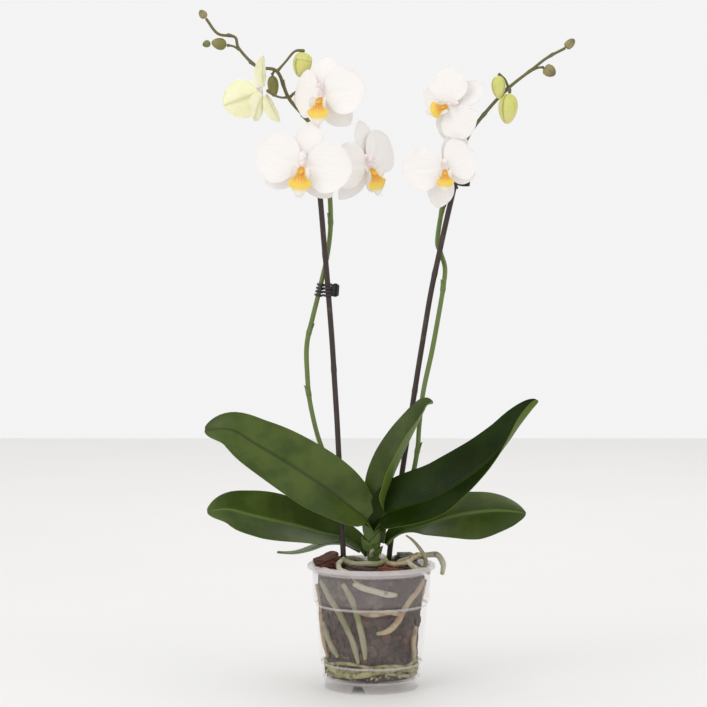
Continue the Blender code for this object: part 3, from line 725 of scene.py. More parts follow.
@dataclass(frozen=True)
class BudFinish(Finish):
    """A closed bud: waxy, flushed at its seams and darker to one end."""

    name: str
    body: Colour
    tip: Colour
    seam: Colour = paint(92, 96, 44)

    def dress(self, kit: NodeKit) -> None:
        """From stalk to tip, with three seams and faint veins.

        Args:
            kit: the material's nodes.
        """
        along, seam = kit.mark("along"), kit.mark("seam")
        veins = kit.noise(1.0, 3.0, kit.stretched((700.0, 700.0, 160.0)))
        colour = kit.blend(along.step(0.35, 1.0), self.body, self.tip)
        colour = kit.blend(veins.step(0.5, 0.8) * 0.3, colour, self.seam)
        colour = kit.blend(seam * 0.6, colour, self.seam)
        kit.set(Base_Color=colour, Roughness=veins * 0.25 + 0.32)
        kit.relief(veins, 0.0003, 0.5)


@dataclass(frozen=True)
class PetalFinish(Finish):
    """A white petal: sparkling cells, branching veins, a cream throat and a faint flush on the back."""

    name: str = "petal_white"
    white: Colour = paint(247, 243, 240)
    vein: Colour = paint(243, 238, 235)
    throat: Colour = paint(240, 238, 214)
    back: Colour = paint(245, 240, 236)
    back_flush: Colour = paint(232, 222, 214)
    glow: float = 0.12

    def dress(self, kit: NodeKit) -> None:
        """Veins that fan out from the throat.

        Args:
            kit: the material's nodes.
        """
        along, across, under = kit.mark("along"), kit.mark("across"), kit.mark("under")
        clouds = kit.noise(46.0, 3.0)
        fan = (across * 6.0 + (clouds - 0.5) * 1.3).part()
        vein = (abs(fan - 0.5) * 2.0).step(0.80, 1.0)
        fine = (across * 15.0 + clouds * 2.0).part() - 0.5
        net = abs(fine).step(0.36, 0.5) * along.step(0.2, 0.7)
        cells = kit.cells(2600.0)
        front = kit.blend(vein * 0.55 + net * 0.25, self.white, self.vein)
        front = kit.blend(along.step(0.20, 0.02) * 0.75, front, self.throat)
        rear = kit.blend(clouds.step(0.45, 0.75) * 0.5, self.back, self.back_flush)
        rear = kit.blend(abs(across).step(0.14, 0.0) * 0.5, rear, self.back_flush)
        kit.set(
            Base_Color=kit.blend(under, front, rear),
            Roughness=clouds * 0.15 + cells * 0.2 + 0.42,
            Subsurface_Weight=self.glow,
            Subsurface_Radius=(0.004, 0.0035, 0.003),
            Specular_IOR_Level=0.35,
            Sheen_Weight=0.08,
        )
        kit.relief(vein * 0.6 + net * 0.3 + cells * 0.25 + clouds * 1.5, 0.0003, 0.45)


@dataclass(frozen=True)
class LipFinish(Finish):
    """The lip: yellow with an orange-red throat, bars of red, and white where its mark says so."""

    name: str = "lip_colours"
    yellow: Colour = paint(246, 212, 88)
    orange: Colour = paint(234, 160, 48)
    red: Colour = paint(186, 96, 44)
    white: Colour = paint(246, 242, 236)

    def dress(self, kit: NodeKit) -> None:
        """The pale mark turns the yellow to white; the warm mark turns it to orange-red.

        Args:
            kit: the material's nodes.
        """
        pale, warm, across = kit.mark("pale"), kit.mark("warm"), kit.mark("across")
        clouds = kit.noise(240.0, 3.0)
        bars = (abs((across * 5.0 + clouds).part() - 0.5) * 2.0).step(0.55, 0.9)
        colour = kit.blend((warm + clouds * 0.4 - 0.2).held(), self.yellow, self.orange)
        colour = kit.blend(bars * warm * 0.45, colour, self.red)
        colour = kit.blend((pale + clouds * 0.3 - 0.15).held(), colour, self.white)
        kit.set(Base_Color=colour, Roughness=clouds * 0.2 + 0.34, Subsurface_Weight=0.08,
                Subsurface_Radius=(0.003, 0.002, 0.001))
        kit.relief(bars * 0.6 + clouds, 0.0004, 0.6)


@dataclass(frozen=True)
class StakeFinish(Finish):
    """A painted cane: dark brown, scuffed, with long grain and dusty patches."""

    name: str = "dark_cane"
    dark: Colour = paint(50, 36, 32)
    worn: Colour = paint(88, 68, 58)

    def dress(self, kit: NodeKit) -> None:
        """Grain along the cane and worn patches.

        Args:
            kit: the material's nodes.
        """
        grain = kit.noise(1.0, 5.0, kit.stretched((900.0, 900.0, 40.0)))
        scuffs = kit.noise(90.0, 4.0).step(0.56, 0.72)
        colour = kit.blend((grain.step(0.45, 0.8) * 0.5 + scuffs * 0.5).held(), self.dark, self.worn)
        kit.set(Base_Color=colour, Roughness=grain * 0.3 + 0.42)
        kit.relief(grain, 0.0004, 0.7)


@dataclass(frozen=True)
class ClipFinish(Finish):
    """Moulded dark plastic with a fine spark texture and rubbed edges."""

    name: str = "clip_plastic"
    dark: Colour = paint(34, 30, 34)
    rubbed: Colour = paint(92, 86, 92)

    def dress(self, kit: NodeKit) -> None:
        """A grain of tiny cells, and paler scuffs.

        Args:
            kit: the material's nodes.
        """
        grain = kit.cells(2400.0)
        scuffs = kit.noise(160.0, 4.0).step(0.55, 0.8)
        kit.set(
            Base_Color=kit.blend(scuffs * 0.6, self.dark, self.rubbed),
            Roughness=grain * 0.2 + scuffs * 0.15 + 0.26,
        )
        kit.relief(grain, 0.0002, 0.4)


@dataclass(frozen=True)
class FloorFinish(Finish):
    """A plain pale floor."""

    name: str = "pale_floor"
    colour: Colour = paint(240, 239, 238)
    shade: Colour = paint(236, 235, 233)

    def dress(self, kit: NodeKit) -> None:
        """Almost even, with the faintest clouds."""
        clouds = kit.noise(3.0)
        kit.set(Base_Color=kit.blend(clouds, self.colour, self.shade), Roughness=clouds * 0.1 + 0.6)


@dataclass(frozen=True)
class ChipFinish(Finish):
    """Bark chips, each with a shade of its own."""

    name: str = "bark_chips"
    tones: tuple[Colour, ...] = (
        paint(28, 16, 12), paint(72, 38, 26), paint(40, 24, 18), paint(98, 60, 44), paint(44, 36, 28),
    )

    def dress(self, kit: NodeKit) -> None:
        """A ramp by chip, with fibres across it.

        Args:
            kit: the material's nodes.
        """
        fibres = kit.noise(1.0, 4.0, kit.stretched((420.0, 420.0, 1100.0)))
        chip = kit.mark("chip")
        stops = [(k / (len(self.tones) - 1), tone) for k, tone in enumerate(self.tones)]
        colour = kit.blend(fibres.step(0.4, 0.7) * 0.5, kit.ramp(chip, *stops), self.tones[0])
        kit.set(Base_Color=colour, Roughness=fibres * 0.3 + 0.5)
        kit.relief(fibres, 0.0007, 0.9)


FOOT_TINTS = (
    paint(150, 146, 96), paint(96, 66, 44), paint(176, 168, 128), paint(120, 124, 66), paint(70, 46, 32),
)


# ---------------------------------------------------------------- pot and what fills it


def around(angle: float, radius: float, height: float = 0.0) -> Vector:
    """A point at an angle from the front, turning towards +X."""
    return Vector((radius * math.sin(angle), -radius * math.cos(angle), height))


def rounded(corners: Outline, reach: float, steps: int = 2) -> list[tuple[float, float]]:
    """A closed outline with its corners rounded off.

    Args:
        corners: the corners, as radius and height.
        reach: how far along each side the rounding goes.
        steps: how many points each corner takes, less one.

    Returns:
        The points of the rounded outline.
    """
    made = []
    for i, corner in enumerate(corners):
        at = Vector(corner)
        ends = []
        for other in (corners[i - 1], corners[(i + 1) % len(corners)]):
            way = Vector(other) - at
            ends.append(at + way.normalized() * min(reach, way.length * 0.4))
        for k in range(steps + 1):
            t = k / steps
            spot = ends[0] * (1 - t) ** 2 + at * 2 * t * (1 - t) + ends[1] * t * t
            made.append((max(spot.x, 0.0), spot.y))
    return made


@dataclass
class GrowPot:
    """The clear pot: foot with three vents, stepped wall, collar and rolled rim."""

    foot: tuple[float, float, float, float] = (0.0, 0.0096, 0.0444, 0.0448)
    base: tuple[float, float, float, float] = (0.0100, 0.0238, 0.0460, 0.0475)
    body: tuple[float, float, float, float] = (0.0256, 0.0790, 0.0491, 0.0532)
    collar: tuple[float, float, float, float] = (0.0820, 0.1105, 0.0553, 0.0566)
    wall: float = 0.0010
    height: float = 0.1170
    rim_radius: float = 0.0610
    skirt: float = 0.0042
    hub: float = 0.0060
    steps: int = 144
    vents: int = 3
    vent_angle: float = math.radians(-17.0)
    vent_height: float = 0.0072
    vent_widths: tuple[float, float] = (0.0155, 0.0065)
    drains: int = 6
    drain_radius: float = 0.0040
    drain_circle: float = 0.0260
    # How wide the pale line at a step is, and how milky the empty foot is
    line_reach: float = 0.0016
    foot_milk: float = 0.46

    @property
    def floor_top(self) -> float:
        """The height of the pot's floor, inside."""
        return self.foot[1] + 0.0012

    def inside(self, height: float) -> float:
        """The inner radius at a height between the floor and the rim.

        Args:
            height: the height, in metres.

        Returns:
            The radius, in metres.
        """
        knots = [knot for tier in (self.base, self.body, self.collar)
                 for knot in ((tier[0], tier[2]), (tier[1], tier[3]))]
        for (low, low_radius), (high, high_radius) in zip(knots, knots[1:]):
            if height <= high:
                share = max(height - low, 0.0) / (high - low)
                return low_radius + (high_radius - low_radius) * share - self.wall
        return knots[-1][1] - self.wall

    def outline(self) -> list[tuple[float, float]]:
        """The moulding's section: hub, floor, inner wall, rim, outer wall and foot.

        Returns:
            The section's points, radius and height.
        """
        inner, outer = [], []
        for bottom, top, low_radius, high_radius in (self.base, self.body, self.collar):
            inner += [(low_radius - self.wall, max(bottom, self.floor_top)), (high_radius - self.wall, top)]
            outer += [(low_radius, bottom), (high_radius, top)]
        lip = self.collar[3] - self.wall + 0.0004
        rim = [
            (lip, self.height - 0.0012), (lip + 0.0012, self.height),
            (self.rim_radius - 0.0014, self.height), (self.rim_radius, self.height - 0.0014),
            (self.rim_radius - 0.0002, self.height - self.skirt),
            (self.rim_radius - 0.0014, self.height - self.skirt),
            (self.collar[3] + 0.0010, self.height - 0.0030),
        ]
        bottom, top, low_radius, high_radius = self.foot
        foot = [
            (high_radius, top), (low_radius, bottom), (low_radius - self.wall, bottom),
            (high_radius - 2 * self.wall, top), (self.hub + self.wall, top), (self.hub, bottom),
        ]
        hub = [(self.hub - self.wall, self.wall * 1.2), (self.hub, self.floor_top)]
        return rounded(hub + inner + rim + outer[::-1] + foot, 0.0005)

    @staticmethod
    def divided(outline: Outline, longest: float = 0.0016) -> list[tuple[float, float]]:
        """The section with points added along its long runs, so that a mark at a step stays thin.

        Args:
            outline: the section's points, radius and height.
            longest: the longest run left whole.

        Returns:
            The section's points with the added ones among them.
        """
        points = []
        for (radius, height), (next_radius, next_height) in zip(outline, outline[1:]):
            outward, upward = next_radius - radius, next_height - height
            count = max(math.ceil(math.hypot(outward, upward) / longest), 1)
            points += [(radius + outward * k / count, height + upward * k / count) for k in range(count)]
        return [*points, outline[-1]]

    def cutters(self) -> list[bpy.types.Object]:
        """Wedges for the vents in the foot and rods for the drain holes.

        Returns:
            The objects to cut with.
        """
        made = []
        for index in range(self.vents):
            bm = bmesh.new()
            bmesh.ops.create_cube(bm, size=1.0)
            for vertex in bm.verts:
                high = vertex.co.z > 0
                vertex.co.x *= self.vent_widths[1] if high else self.vent_widths[0]
                vertex.co.y *= 4 * self.wall
                vertex.co.z = self.vent_height if high else -self.vent_height / 10
            angle = self.vent_angle + index * math.tau / self.vents
            matrix = Matrix.Translation(around(angle, self.foot[2])) @ Matrix.Rotation(angle, 4, "Z")
            made.append(self._cutter(bm, f"vent_{index}", matrix))
        for index in range(self.drains):
            bm = bmesh.new()
            bmesh.ops.create_cone(
                bm, cap_ends=True, segments=24, radius1=self.drain_radius, radius2=self.drain_radius,
                depth=8 * self.wall,
            )
            spot = around((index + 0.5) * math.tau / self.drains, self.drain_circle, self.foot[1])
            made.append(self._cutter(bm, f"drain_{index}", Matrix.Translation(spot)))
        return made

    @staticmethod
    def _cutter(bm: bmesh.types.BMesh, name: str, matrix: Matrix) -> bpy.types.Object:
        """A passing object that is taken out of the pot and then removed.

        Args:
            bm: its shape, which is used up.
            name: its name.
            matrix: where it stands.

        Returns:
            The object.
        """
        mesh = bpy.data.meshes.new(name)
        bm.to_mesh(mesh)
        bm.free()
        made = bpy.data.objects.new(name, mesh)
        made.matrix_world = matrix
        bpy.context.scene.collection.objects.link(made)
        return made

    def build(self) -> None:
        """Turns the section round the axis and cuts the vents and the drain holes."""
        surface = Surface("grow_pot_moulding")
        outline = self.divided(self.outline())
        levels = (self.foot[1], self.base[1], self.body[1], self.collar[1], self.height)
        rings = []
        for k in range(self.steps):
            ring = []
            for radius, height in outline:
                near = min(abs(height - level) for level in levels)
                at_rim = 1.0 if height > self.collar[1] + 0.001 else 0.0
                in_foot = self.foot_milk if height < self.foot[1] + 0.0008 else 0.0
                edge = max(ease(self.line_reach, 0.0, near), at_rim, in_foot)
                ring.append(surface.point(around(math.tau * k / self.steps, radius, height), edge=edge))
            rings.append(ring)
        surface.grid([*rings, rings[0]])
        self._cap_hub(surface, rings)
        pot = surface.made(PotPlastic(), "clear_plastic", ["grow_pot"], 35.0)
        for cutter in self.cutters():
            cut = pot.modifiers.new(cutter.name, "BOOLEAN")
            cut.object = cutter
        graph = bpy.context.evaluated_depsgraph_get()
        mesh = bpy.data.meshes.new_from_object(pot.evaluated_get(graph))
        pot.modifiers.clear()
        pot.data = mesh
        for other in [o for o in bpy.data.objects if o.name.startswith(("vent_", "drain_"))]:
            bpy.data.objects.remove(other)

    @staticmethod
    def _cap_hub(surface: Surface, rings: Sequence[Sequence[int]]) -> None:
        """Closes the hub over the axis, between the first and the last point of the section.

        Args:
            surface: the pot's mesh.
            rings: the section's points at each step round.
        """
        upper, lower = [ring[0] for ring in rings], [ring[-1] for ring in rings][::-1]
        for loop in (upper, lower):
            surface.fan(loop, surface.point(Vector((0, 0, surface.points[loop[0]].z))))


def broken_lump(
    surface: Surface, matrix: Matrix, size: Vector, seed: float, steps: int = 10, box: float = 0.62,
    tear: float = 0.16, layers: float = 0.0,
) -> None:
    """A lump with flat sides and a broken surface, such as a bark chip.

    Args:
        surface: the mesh that it joins.
        matrix: where it lies.
        size: its three sides.
        seed: what makes it differ from the others.
        steps: how many rings it has from end to end.
        box: how square it is, from 0, round, to 1.
        tear: how rough its surface is, as a share of its size.
        layers: how many laminations show on its sides.
    """
    rings = []
    for i in range(steps + 1):
        polar = math.pi * (0.04 + 0.92 * i / steps)
        ring = []
        for k in range(steps * 2):
            angle = math.tau * k / (steps * 2)
            wide = math.sin(polar)
            way = Vector((math.cos(polar), wide * math.cos(angle), wide * math.sin(angle)))
            reach = (0.80 / max(abs(part) for part in way)) ** box
            reach *= 1.0 + tear * rough(way, 1.9, seed) + tear * 0.5 * rough(way, 5.0, seed + 7.0)
            if layers:
                bed = math.sin(layers * math.pi * (way.z + 0.12 * rough(way, 2.4, seed)))
                reach *= 1.0 + 0.06 * math.copysign(abs(bed) ** 0.4, bed)
            spot = Vector([part * reach * side / 2 for part, side in zip(way, size)])
            ring.append(surface.point(matrix @ spot, chip=seed % 1.0))
        rings.append(ring)
    surface.grid(rings, closed=True)
    for ring, share in ((rings[0][::-1], 1.0), (rings[-1], -1.0)):
        tip = surface.point(matrix @ Vector((share * size.x * 0.40, 0, 0)), chip=seed % 1.0)
        surface.fan(ring, tip)


def turned_by(centre: Vector, degrees: Sequence[float]) -> Matrix:
    """The matrix of a place and three turns about X, Y and Z in degrees.

    Args:
        centre: the place.
        degrees: the three turns.

    Returns:
        The matrix.
    """
    matrix = Matrix.Translation(centre)
    for axis, turn in zip("XYZ", degrees):
        matrix = matrix @ Matrix.Rotation(math.radians(turn), 4, axis)
    return matrix


@dataclass
class GrowingMix:
    """Bark mix that fills the pot: a crumbly body, chips at the wall and on top, crumbs at the foot."""

    pot: GrowPot
    top: float = 0.1075
    room: float = 0.0036
    wall_chips: int = 210
    top_chips: int = 130
    foot_crumbs: int = 230
    seed: int = 7
    rows: int = 46
    sides: int = 150

    def build(self) -> None:
        """Makes the body, the chips and the crumbs at the foot."""
        self.body()
        dice = random.Random(self.seed)
        chips = Surface("mix_chips")
        for _ in range(self.wall_chips):
            self.wall_chip(chips, dice)
        for _ in range(self.top_chips):
            self.top_chip(chips, dice)
        chips.made(ChipFinish(), "bark", (), 40.0)
        crumbs = Surface("foot_crumbs")
        for _ in range(self.foot_crumbs):
            self.crumb(crumbs, dice)
        crumbs.made(ChipFinish("foot_crumbs", FOOT_TINTS), "bark", (), 40.0)

    def side(self, height: float) -> float:
        """The mix's radius at a height, eased past the steps of the pot's wall."""
        below = [self.pot.inside(height - 0.002 * step) for step in range(9)]
        return sum(below) / len(below) - self.room

    def crumb(self, chips: Surface, dice: random.Random) -> None:
        """One crumb among the roots at the foot.

        Args:
            chips: the mesh that it joins.
            dice: where its random numbers come from.
        """
        size = mm(dice.uniform(1.6, 5.0), dice.uniform(1.0, 2.0), dice.uniform(1.0, 2.6))
        height = dice.uniform(self.pot.floor_top + 0.0016, self.pot.base[1] + 0.001)
        angle = dice.uniform(0, math.tau)
        radius = self.pot.inside(height) - dice.uniform(0.0016, 0.0026)
        matrix = Matrix.Translation(around(angle, radius, height)) @ Matrix.Rotation(angle, 4, "Z")
        matrix = matrix @ Matrix.Rotation(dice.uniform(-1.3, 1.3), 4, "Y")
        broken_lump(chips, matrix, size, dice.uniform(0, 90), 5, 0.7, 0.25)

    def body(self) -> None:
        """A turned body whose side and top are broken up by noise."""
        surface = Surface("mix_body")
        floor = self.pot.floor_top + 0.0003
        section = [(self.pot.inside(floor) * share, floor) for share in (0.4, 0.8)]
        for k in range(self.rows + 1):
            height = floor + (self.top - 0.003 - floor) * k / self.rows
            section.append((self.side(height), height))
        section += [(0.050 * (1 - k / 14), self.top - 0.001) for k in range(14)]
        rings = []
        for step in range(self.sides):
            angle = math.tau * step / self.sides
            ring = []
            for radius, height in section:
                spot = around(angle, radius, height)
                crumbs = rough(spot, 260.0) * 0.9 + rough(spot, 110.0, 3.0) * 1.2
                side = ease(0.2, 1.0, radius / self.pot.inside(height))
                spot += around(angle, (crumbs - 1.2) * 0.0011 * side)
                if height > self.top - 0.002:
                    spot.z += crumbs * 0.0016
                ring.append(surface.point(spot))
            rings.append(ring)
        surface.grid([*rings, rings[0]])
        surface.fan([ring[0] for ring in rings], surface.point(Vector((0, 0, floor))))
        surface.fan([ring[-1] for ring in rings], surface.point(Vector((0, 0, self.top - 0.001))))
        surface.made(MixFinish(), "bark_mix", ["bark_mix"])

    def wall_chip(self, chips: Surface, dice: random.Random) -> None:
        """One chip that lies flat against the inside of the pot.

        Args:
            chips: the mesh that it joins.
            dice: where its random numbers come from.
        """
        size = mm(dice.uniform(6, 15), dice.uniform(1.6, 2.8), dice.uniform(3.5, 9))
        height = dice.uniform(self.pot.floor_top + 0.004, self.top - 0.006)
        angle = dice.uniform(0, math.tau)
        radius = self.side(height) - dice.uniform(0.0004, 0.0016)
        matrix = Matrix.Translation(around(angle, radius, height)) @ Matrix.Rotation(angle, 4, "Z")
        matrix = matrix @ Matrix.Rotation(dice.uniform(-1.3, 1.3), 4, "Y")
        broken_lump(chips, matrix, size, dice.uniform(0, 90), 6, 0.7, 0.22)

    def top_chip(self, chips: Surface, dice: random.Random) -> None:
        """One chip that lies on the mix, inside the collar.

        Args:
            chips: the mesh that it joins.
            dice: where its random numbers come from.
        """
        size = mm(dice.uniform(8, 19), dice.uniform(6, 12), dice.uniform(3, 6))
        spot = around(dice.uniform(0, math.tau), 0.048 * math.sqrt(dice.random()), self.top + 0.0008)
        spot.z += dice.uniform(0.0, 0.0055)
        tilt = [dice.uniform(-26, 26), dice.uniform(-26, 26), dice.uniform(0, 360)]
        broken_lump(chips, turned_by(spot, tilt), size, dice.uniform(0, 90), 7, 0.7, 0.2)


@dataclass
class TopBark:
    """The four big pieces of bark on top: centre, size and turns of each."""

    pieces: dict[str, tuple[Vector, Vector, tuple[float, float, float]]] = field(default_factory=lambda: {
        "bark_left": (mm(-41, -8, 117.5), mm(26, 18, 17), (12, -18, 25)),
        "bark_centre": (mm(-9, -35, 113.5), mm(27, 17, 12), (8, 6, -10)),
        "bark_red": (mm(19, -39, 112.5), mm(28, 13, 11), (-6, 8, 14)),
        "bark_back": (mm(33, 23, 117), mm(23, 15, 12), (10, 10, 30)),
    })

    def build(self) -> None:
        """Makes each piece as stacked splinters of one lump."""
        finishes = {
            "bark_left": BarkFinish(), "bark_red": BarkFinish("red_bark", red=paint(118, 58, 42)),
            "bark_centre": BarkFinish("dark_bark", paint(34, 26, 24), paint(74, 54, 48), paint(120, 96, 84)),
            "bark_back": BarkFinish("mossy_bark", paint(40, 38, 32), paint(84, 80, 66), paint(124, 118, 96)),
        }
        for index, (name, (centre, size, turns)) in enumerate(self.pieces.items()):
            surface = Surface(f"{name}_piece")
            matrix = turned_by(centre, turns)
            broken_lump(surface, matrix, size * 1.02, 11.3 * (index + 1), 54, 0.68, 0.26, 8.0)
            for layer in (-0.30, 0.05, 0.36):
                shift = Matrix.Translation((layer * 0.0024, layer * 0.0016, layer * size.z))
                slab = Vector((size.x * (1.04 - abs(layer) * 0.3), size.y * 1.03, size.z * 0.24))
                broken_lump(surface, matrix @ shift, slab, 5.7 * (index + 1) + layer, 16, 0.8, 0.14)
            surface.made(finishes[name], "bark", [name], 35.0)


# ---------------------------------------------------------------- roots, canes, stem and leaves


@dataclass
class Roots:
    """Roots against the wall, roots above the mix and fine roots among the chips."""

    pot: GrowPot
    radius: float = 0.0029
    step_reach: float = 0.008
    gap: float = 0.0003
    wall_roots: dict[str, tuple[tuple[float, float], ...]] = field(default_factory=lambda: {
        "root_wall_left": ((-66, 103), (-52, 90), (-40, 76), (-29, 60), (-22, 48), (-19, 38), (-17, 29)),
        "root_wall_centre": ((-31, 103), (-26, 96), (-21, 86), (-16, 72), (-12, 58), (-9, 44), (-8, 33)),
        "root_wall_band": ((-19, 104), (-8, 100), (4, 97), (16, 94), (27, 93)),
        "root_wall_right": ((70, 103), (58, 95), (46, 86), (37, 76), (29, 66), (18, 59), (6, 57)),
        "root_wall_low": ((-74, 63), (-66, 53), (-56, 43), (-46, 33)),
    })
    hidden_roots: tuple[tuple[tuple[float, float], ...], ...] = (
        ((98, 100), (104, 84), (112, 66), (118, 50), (112, 34)),
        ((150, 103), (142, 86), (150, 68), (164, 52), (170, 36)),
        ((196, 98), (206, 84), (220, 74), (238, 68), (252, 56)),
        ((268, 96), (262, 78), (270, 60), (284, 44), (288, 30)),
        ((62, 60), (58, 46), (62, 36), (66, 28)), ((-18, 78), (2, 75), (20, 77), (36, 73)),
        ((176, 90), (188, 76), (186, 60), (200, 44), (214, 33)),
    )
    # The winding roots at the foot: how far round each is shifted, in degrees, its lift in mm and its radius
    foot_roots: tuple[tuple[float, float, float], ...] = (
        (0, 0.0, 0.0029), (11, 3.4, 0.0017), (27, -2.2, 0.0016), (61, 5.2, 0.0015),
    )
    surface_roots: tuple[tuple[tuple[Vector, ...], float], ...] = (
        ((mm(-52, -10, 112), mm(-44, -22, 113), mm(-35, -28, 111), mm(-24, -35, 112.5), mm(-14, -46, 108)),
         2.4),
        ((mm(-26, -16, 123), mm(-31, -24, 119), mm(-29, -34, 115), mm(-20, -40, 112), mm(-12, -49, 104)),
         2.2),
        ((mm(-24, -20, 121), mm(-16, -32, 120), mm(-6, -37, 121), mm(6, -36, 121), mm(14, -30, 124)), 2.5),
        ((mm(10, -30, 122), mm(22, -33, 120), mm(34, -30, 122), mm(43, -24, 128), mm(49, -16, 124)), 2.2),
        ((mm(33, -30, 123), mm(40, -33, 117), mm(48, -29, 114), mm(53, -20, 113), mm(54, -12, 109)), 2.3),
        ((mm(2, 26, 110), mm(-12, 32, 116), mm(-27, 30, 117), mm(-42, 22, 113), mm(-50, 14, 107)), 2.3),
        ((mm(6, 30, 108), mm(14, 38, 115), mm(26, 42, 114), mm(40, 34, 112), mm(48, 24, 106)), 2.5),
    )
    aerial: dict[str, tuple[tuple[Vector, ...], float, tuple[float, ...]]] = field(default_factory=lambda: {
        "root_over_rim": (
            (mm(21, 5, 107), mm(27, 5, 117), mm(44, 4, 122), mm(56, 2, 124.5), mm(63.5, -1, 124),
             mm(68, -4, 116), mm(67, -6, 107)),
            0.0026, (0.9, 1.0, 1.0, 1.0, 1.1, 1.1, 0.7),
        ),
        "root_rising": (
            (mm(49, -17, 112), mm(51, -20, 121), mm(47, -22, 131), mm(39, -24, 141), mm(32.5, -25, 146)),
            0.0016, (1.3, 1.3, 1.1, 0.9, 0.5),
        ),
    })

    def against_wall(self, degrees: float, height: float, radius: float) -> Vector:
        """The middle of a root against the inside of the pot, clear of the wall's steps.

        Args:
            degrees: the angle from the front.
            height: the height, in millimetres.
            radius: the root's radius, in metres.

        Returns:
            The place.
        """
        height *= MM
        narrowest = min(self.pot.inside(height - reach) for reach in (0.0, radius, self.step_reach))
        return around(math.radians(degrees), narrowest - radius - 1.6 * self.gap, height)

    def strand(
        self, surface: Surface, route: Sequence[Vector], radius: float, taper: Sequence[float],
    ) -> None:
        """One root: a wavering tube with wrinkles and swellings.

        Args:
            surface: the mesh that it joins.
            route: the points that it passes.
            radius: its radius.
            taper: its thickness along the way, as shares of the radius.
        """
        line = even(smooth(route, 8), 12 * len(route))

        def reach(share: float, angle: float) -> float:
            """The radius there.

            Args:
                share: how far along.
                angle: how far round.

            Returns:
                The radius.
            """
            spot = spread(line, share)
            swell = 1.0 + 0.10 * rough(spot, 120.0) + 0.05 * rough(spot, 420.0, 5.0)
            ribs = 0.035 * math.sin(5 * angle + 300 * share * radius)
            return radius * spread(taper, share) * (swell + ribs)

        surface.tube(line, reach, 18)

    def build(self) -> None:
        """Makes every root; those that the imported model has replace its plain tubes."""
        pale = RootFinish()
        green = RootFinish("green_root_coat", paint(150, 144, 116), paint(122, 124, 84), damp_from=0.42)
        tan = RootFinish("tan_root_coat", dry=paint(176, 156, 124), damp=paint(150, 122, 92))
        ends = (0.75, 1.0, 1.0, 1.0, 1.0, 1.0, 0.55)
        dress = {"root_wall_band": pale, "root_wall_left": green, "root_wall_right": tan}
        for name, steps in self.wall_roots.items():
            surface = Surface(f"{name}_strand")
            route = [self.against_wall(degrees, height, self.radius) for degrees, height in steps]
            self.strand(surface, route, self.radius, ends)
            surface.made(dress.get(name, green), "root", [name])
        self.tangle(RootFinish(
            "foot_root_coat", paint(164, 160, 112), paint(132, 134, 76), paint(92, 66, 44), worn_from=0.46,
        ))
        for name, (route, radius, taper) in self.aerial.items():
            surface = Surface(f"{name}_strand")
            self.strand(surface, route, radius, taper)
            surface.made(pale if name == "root_over_rim" else green, "root", [name])
        hidden = Surface("roots_round_the_wall")
        for steps in self.hidden_roots:
            route = [self.against_wall(degrees, height, 0.0025) for degrees, height in steps]
            self.strand(hidden, route, 0.0025, ends)
        hidden.made(tan, "root")
        for index, (route, radius) in enumerate(self.surface_roots):
            surface = Surface(f"root_on_mix_{index}")
            self.strand(surface, route, radius * MM, (1.0, 1.1, 1.0, 1.0, 0.8))
            surface.made((pale, pale, green, tan, pale)[index % 5], "root")

    def tangle(self, finish: Finish) -> None:
        """The root that winds along the foot of the wall, and thinner ones that follow it.

        Args:
            finish: what covers them.
        """
        surface = Surface("root_tangle_strand")
        for shift, lift, radius in self.foot_roots:
            route = []
            for degrees in range(-130, 131, 20):
                height = 19.5 + lift + 3.0 * math.sin(math.radians((degrees + shift) * 3.1))
                route.append(self.against_wall(degrees, height, max(radius, 0.0022)))
            self.strand(surface, route, radius, (0.6, 1.0, 1.07, 0.93, 1.03, 0.55))
        surface.made(finish, "root", ["root_tangle"])


@dataclass
class Stakes:
    """The two canes: their routes and their radius."""

    radius: float = 0.0026
    routes: dict[str, tuple[Vector, ...]] = field(default_factory=lambda: {
        "stake_left": (mm(-24, -1, 30), mm(-26.5, -1, 118), mm(-31, 4, 220), mm(-37, 8, 320),
                       mm(-41.5, 10, 379), mm(-49, 12, 466)),
        "stake_right": (mm(12, 24, 30), mm(17, 23, 118), mm(28, 22, 190), mm(41, 22, 274), mm(56, 22, 366),
                        mm(67, 22, 419), mm(81, 22, 481)),
    })
    knots: dict[str, tuple[float, ...]] = field(default_factory=lambda: {
        "stake_left": (0.34, 0.62, 0.87), "stake_right": (0.30, 0.55, 0.80),
    })

    def build(self) -> None:
        """Makes each cane with its knots and rounded ends."""
        for name, route in self.routes.items():
            line = even(smooth(route, 10), 150)
            places = self.knots[name]

            def reach(share: float, angle: float, places: tuple[float, ...] = places) -> float:
                """The radius, fuller just above each knot."""
                bulge = sum(math.exp(-((share - knot) / 0.006) ** 2) for knot in places)
                return self.radius * (1.0 + 0.13 * bulge + 0.02 * math.sin(3 * angle + 40 * share))

            surface = Surface(f"{name}_cane")
            surface.tube(line, reach, 18)
            surface.made(StakeFinish(), "stake", [name], 50.0)


def half_width_at(blade: "Leaf | Lobe", share: float) -> float:
    """Half the width of a leaf or a petal, which swells from its neck and closes at its tip.

    Args:
        blade: the leaf or lobe, with its neck, half width, peak and bluntness.
        share: how far it is from the base, 0 to 1.

    Returns:
        The half width, in the blade's own units.
    """
    exponent = math.log(0.5) / math.log(blade.peak)
    swell = max(math.sin(math.pi * share ** exponent), 0.0) ** blade.blunt
    return max(blade.neck * (1.0 - share) ** 2 + blade.half_width * swell, blade.half_width * 0.02)


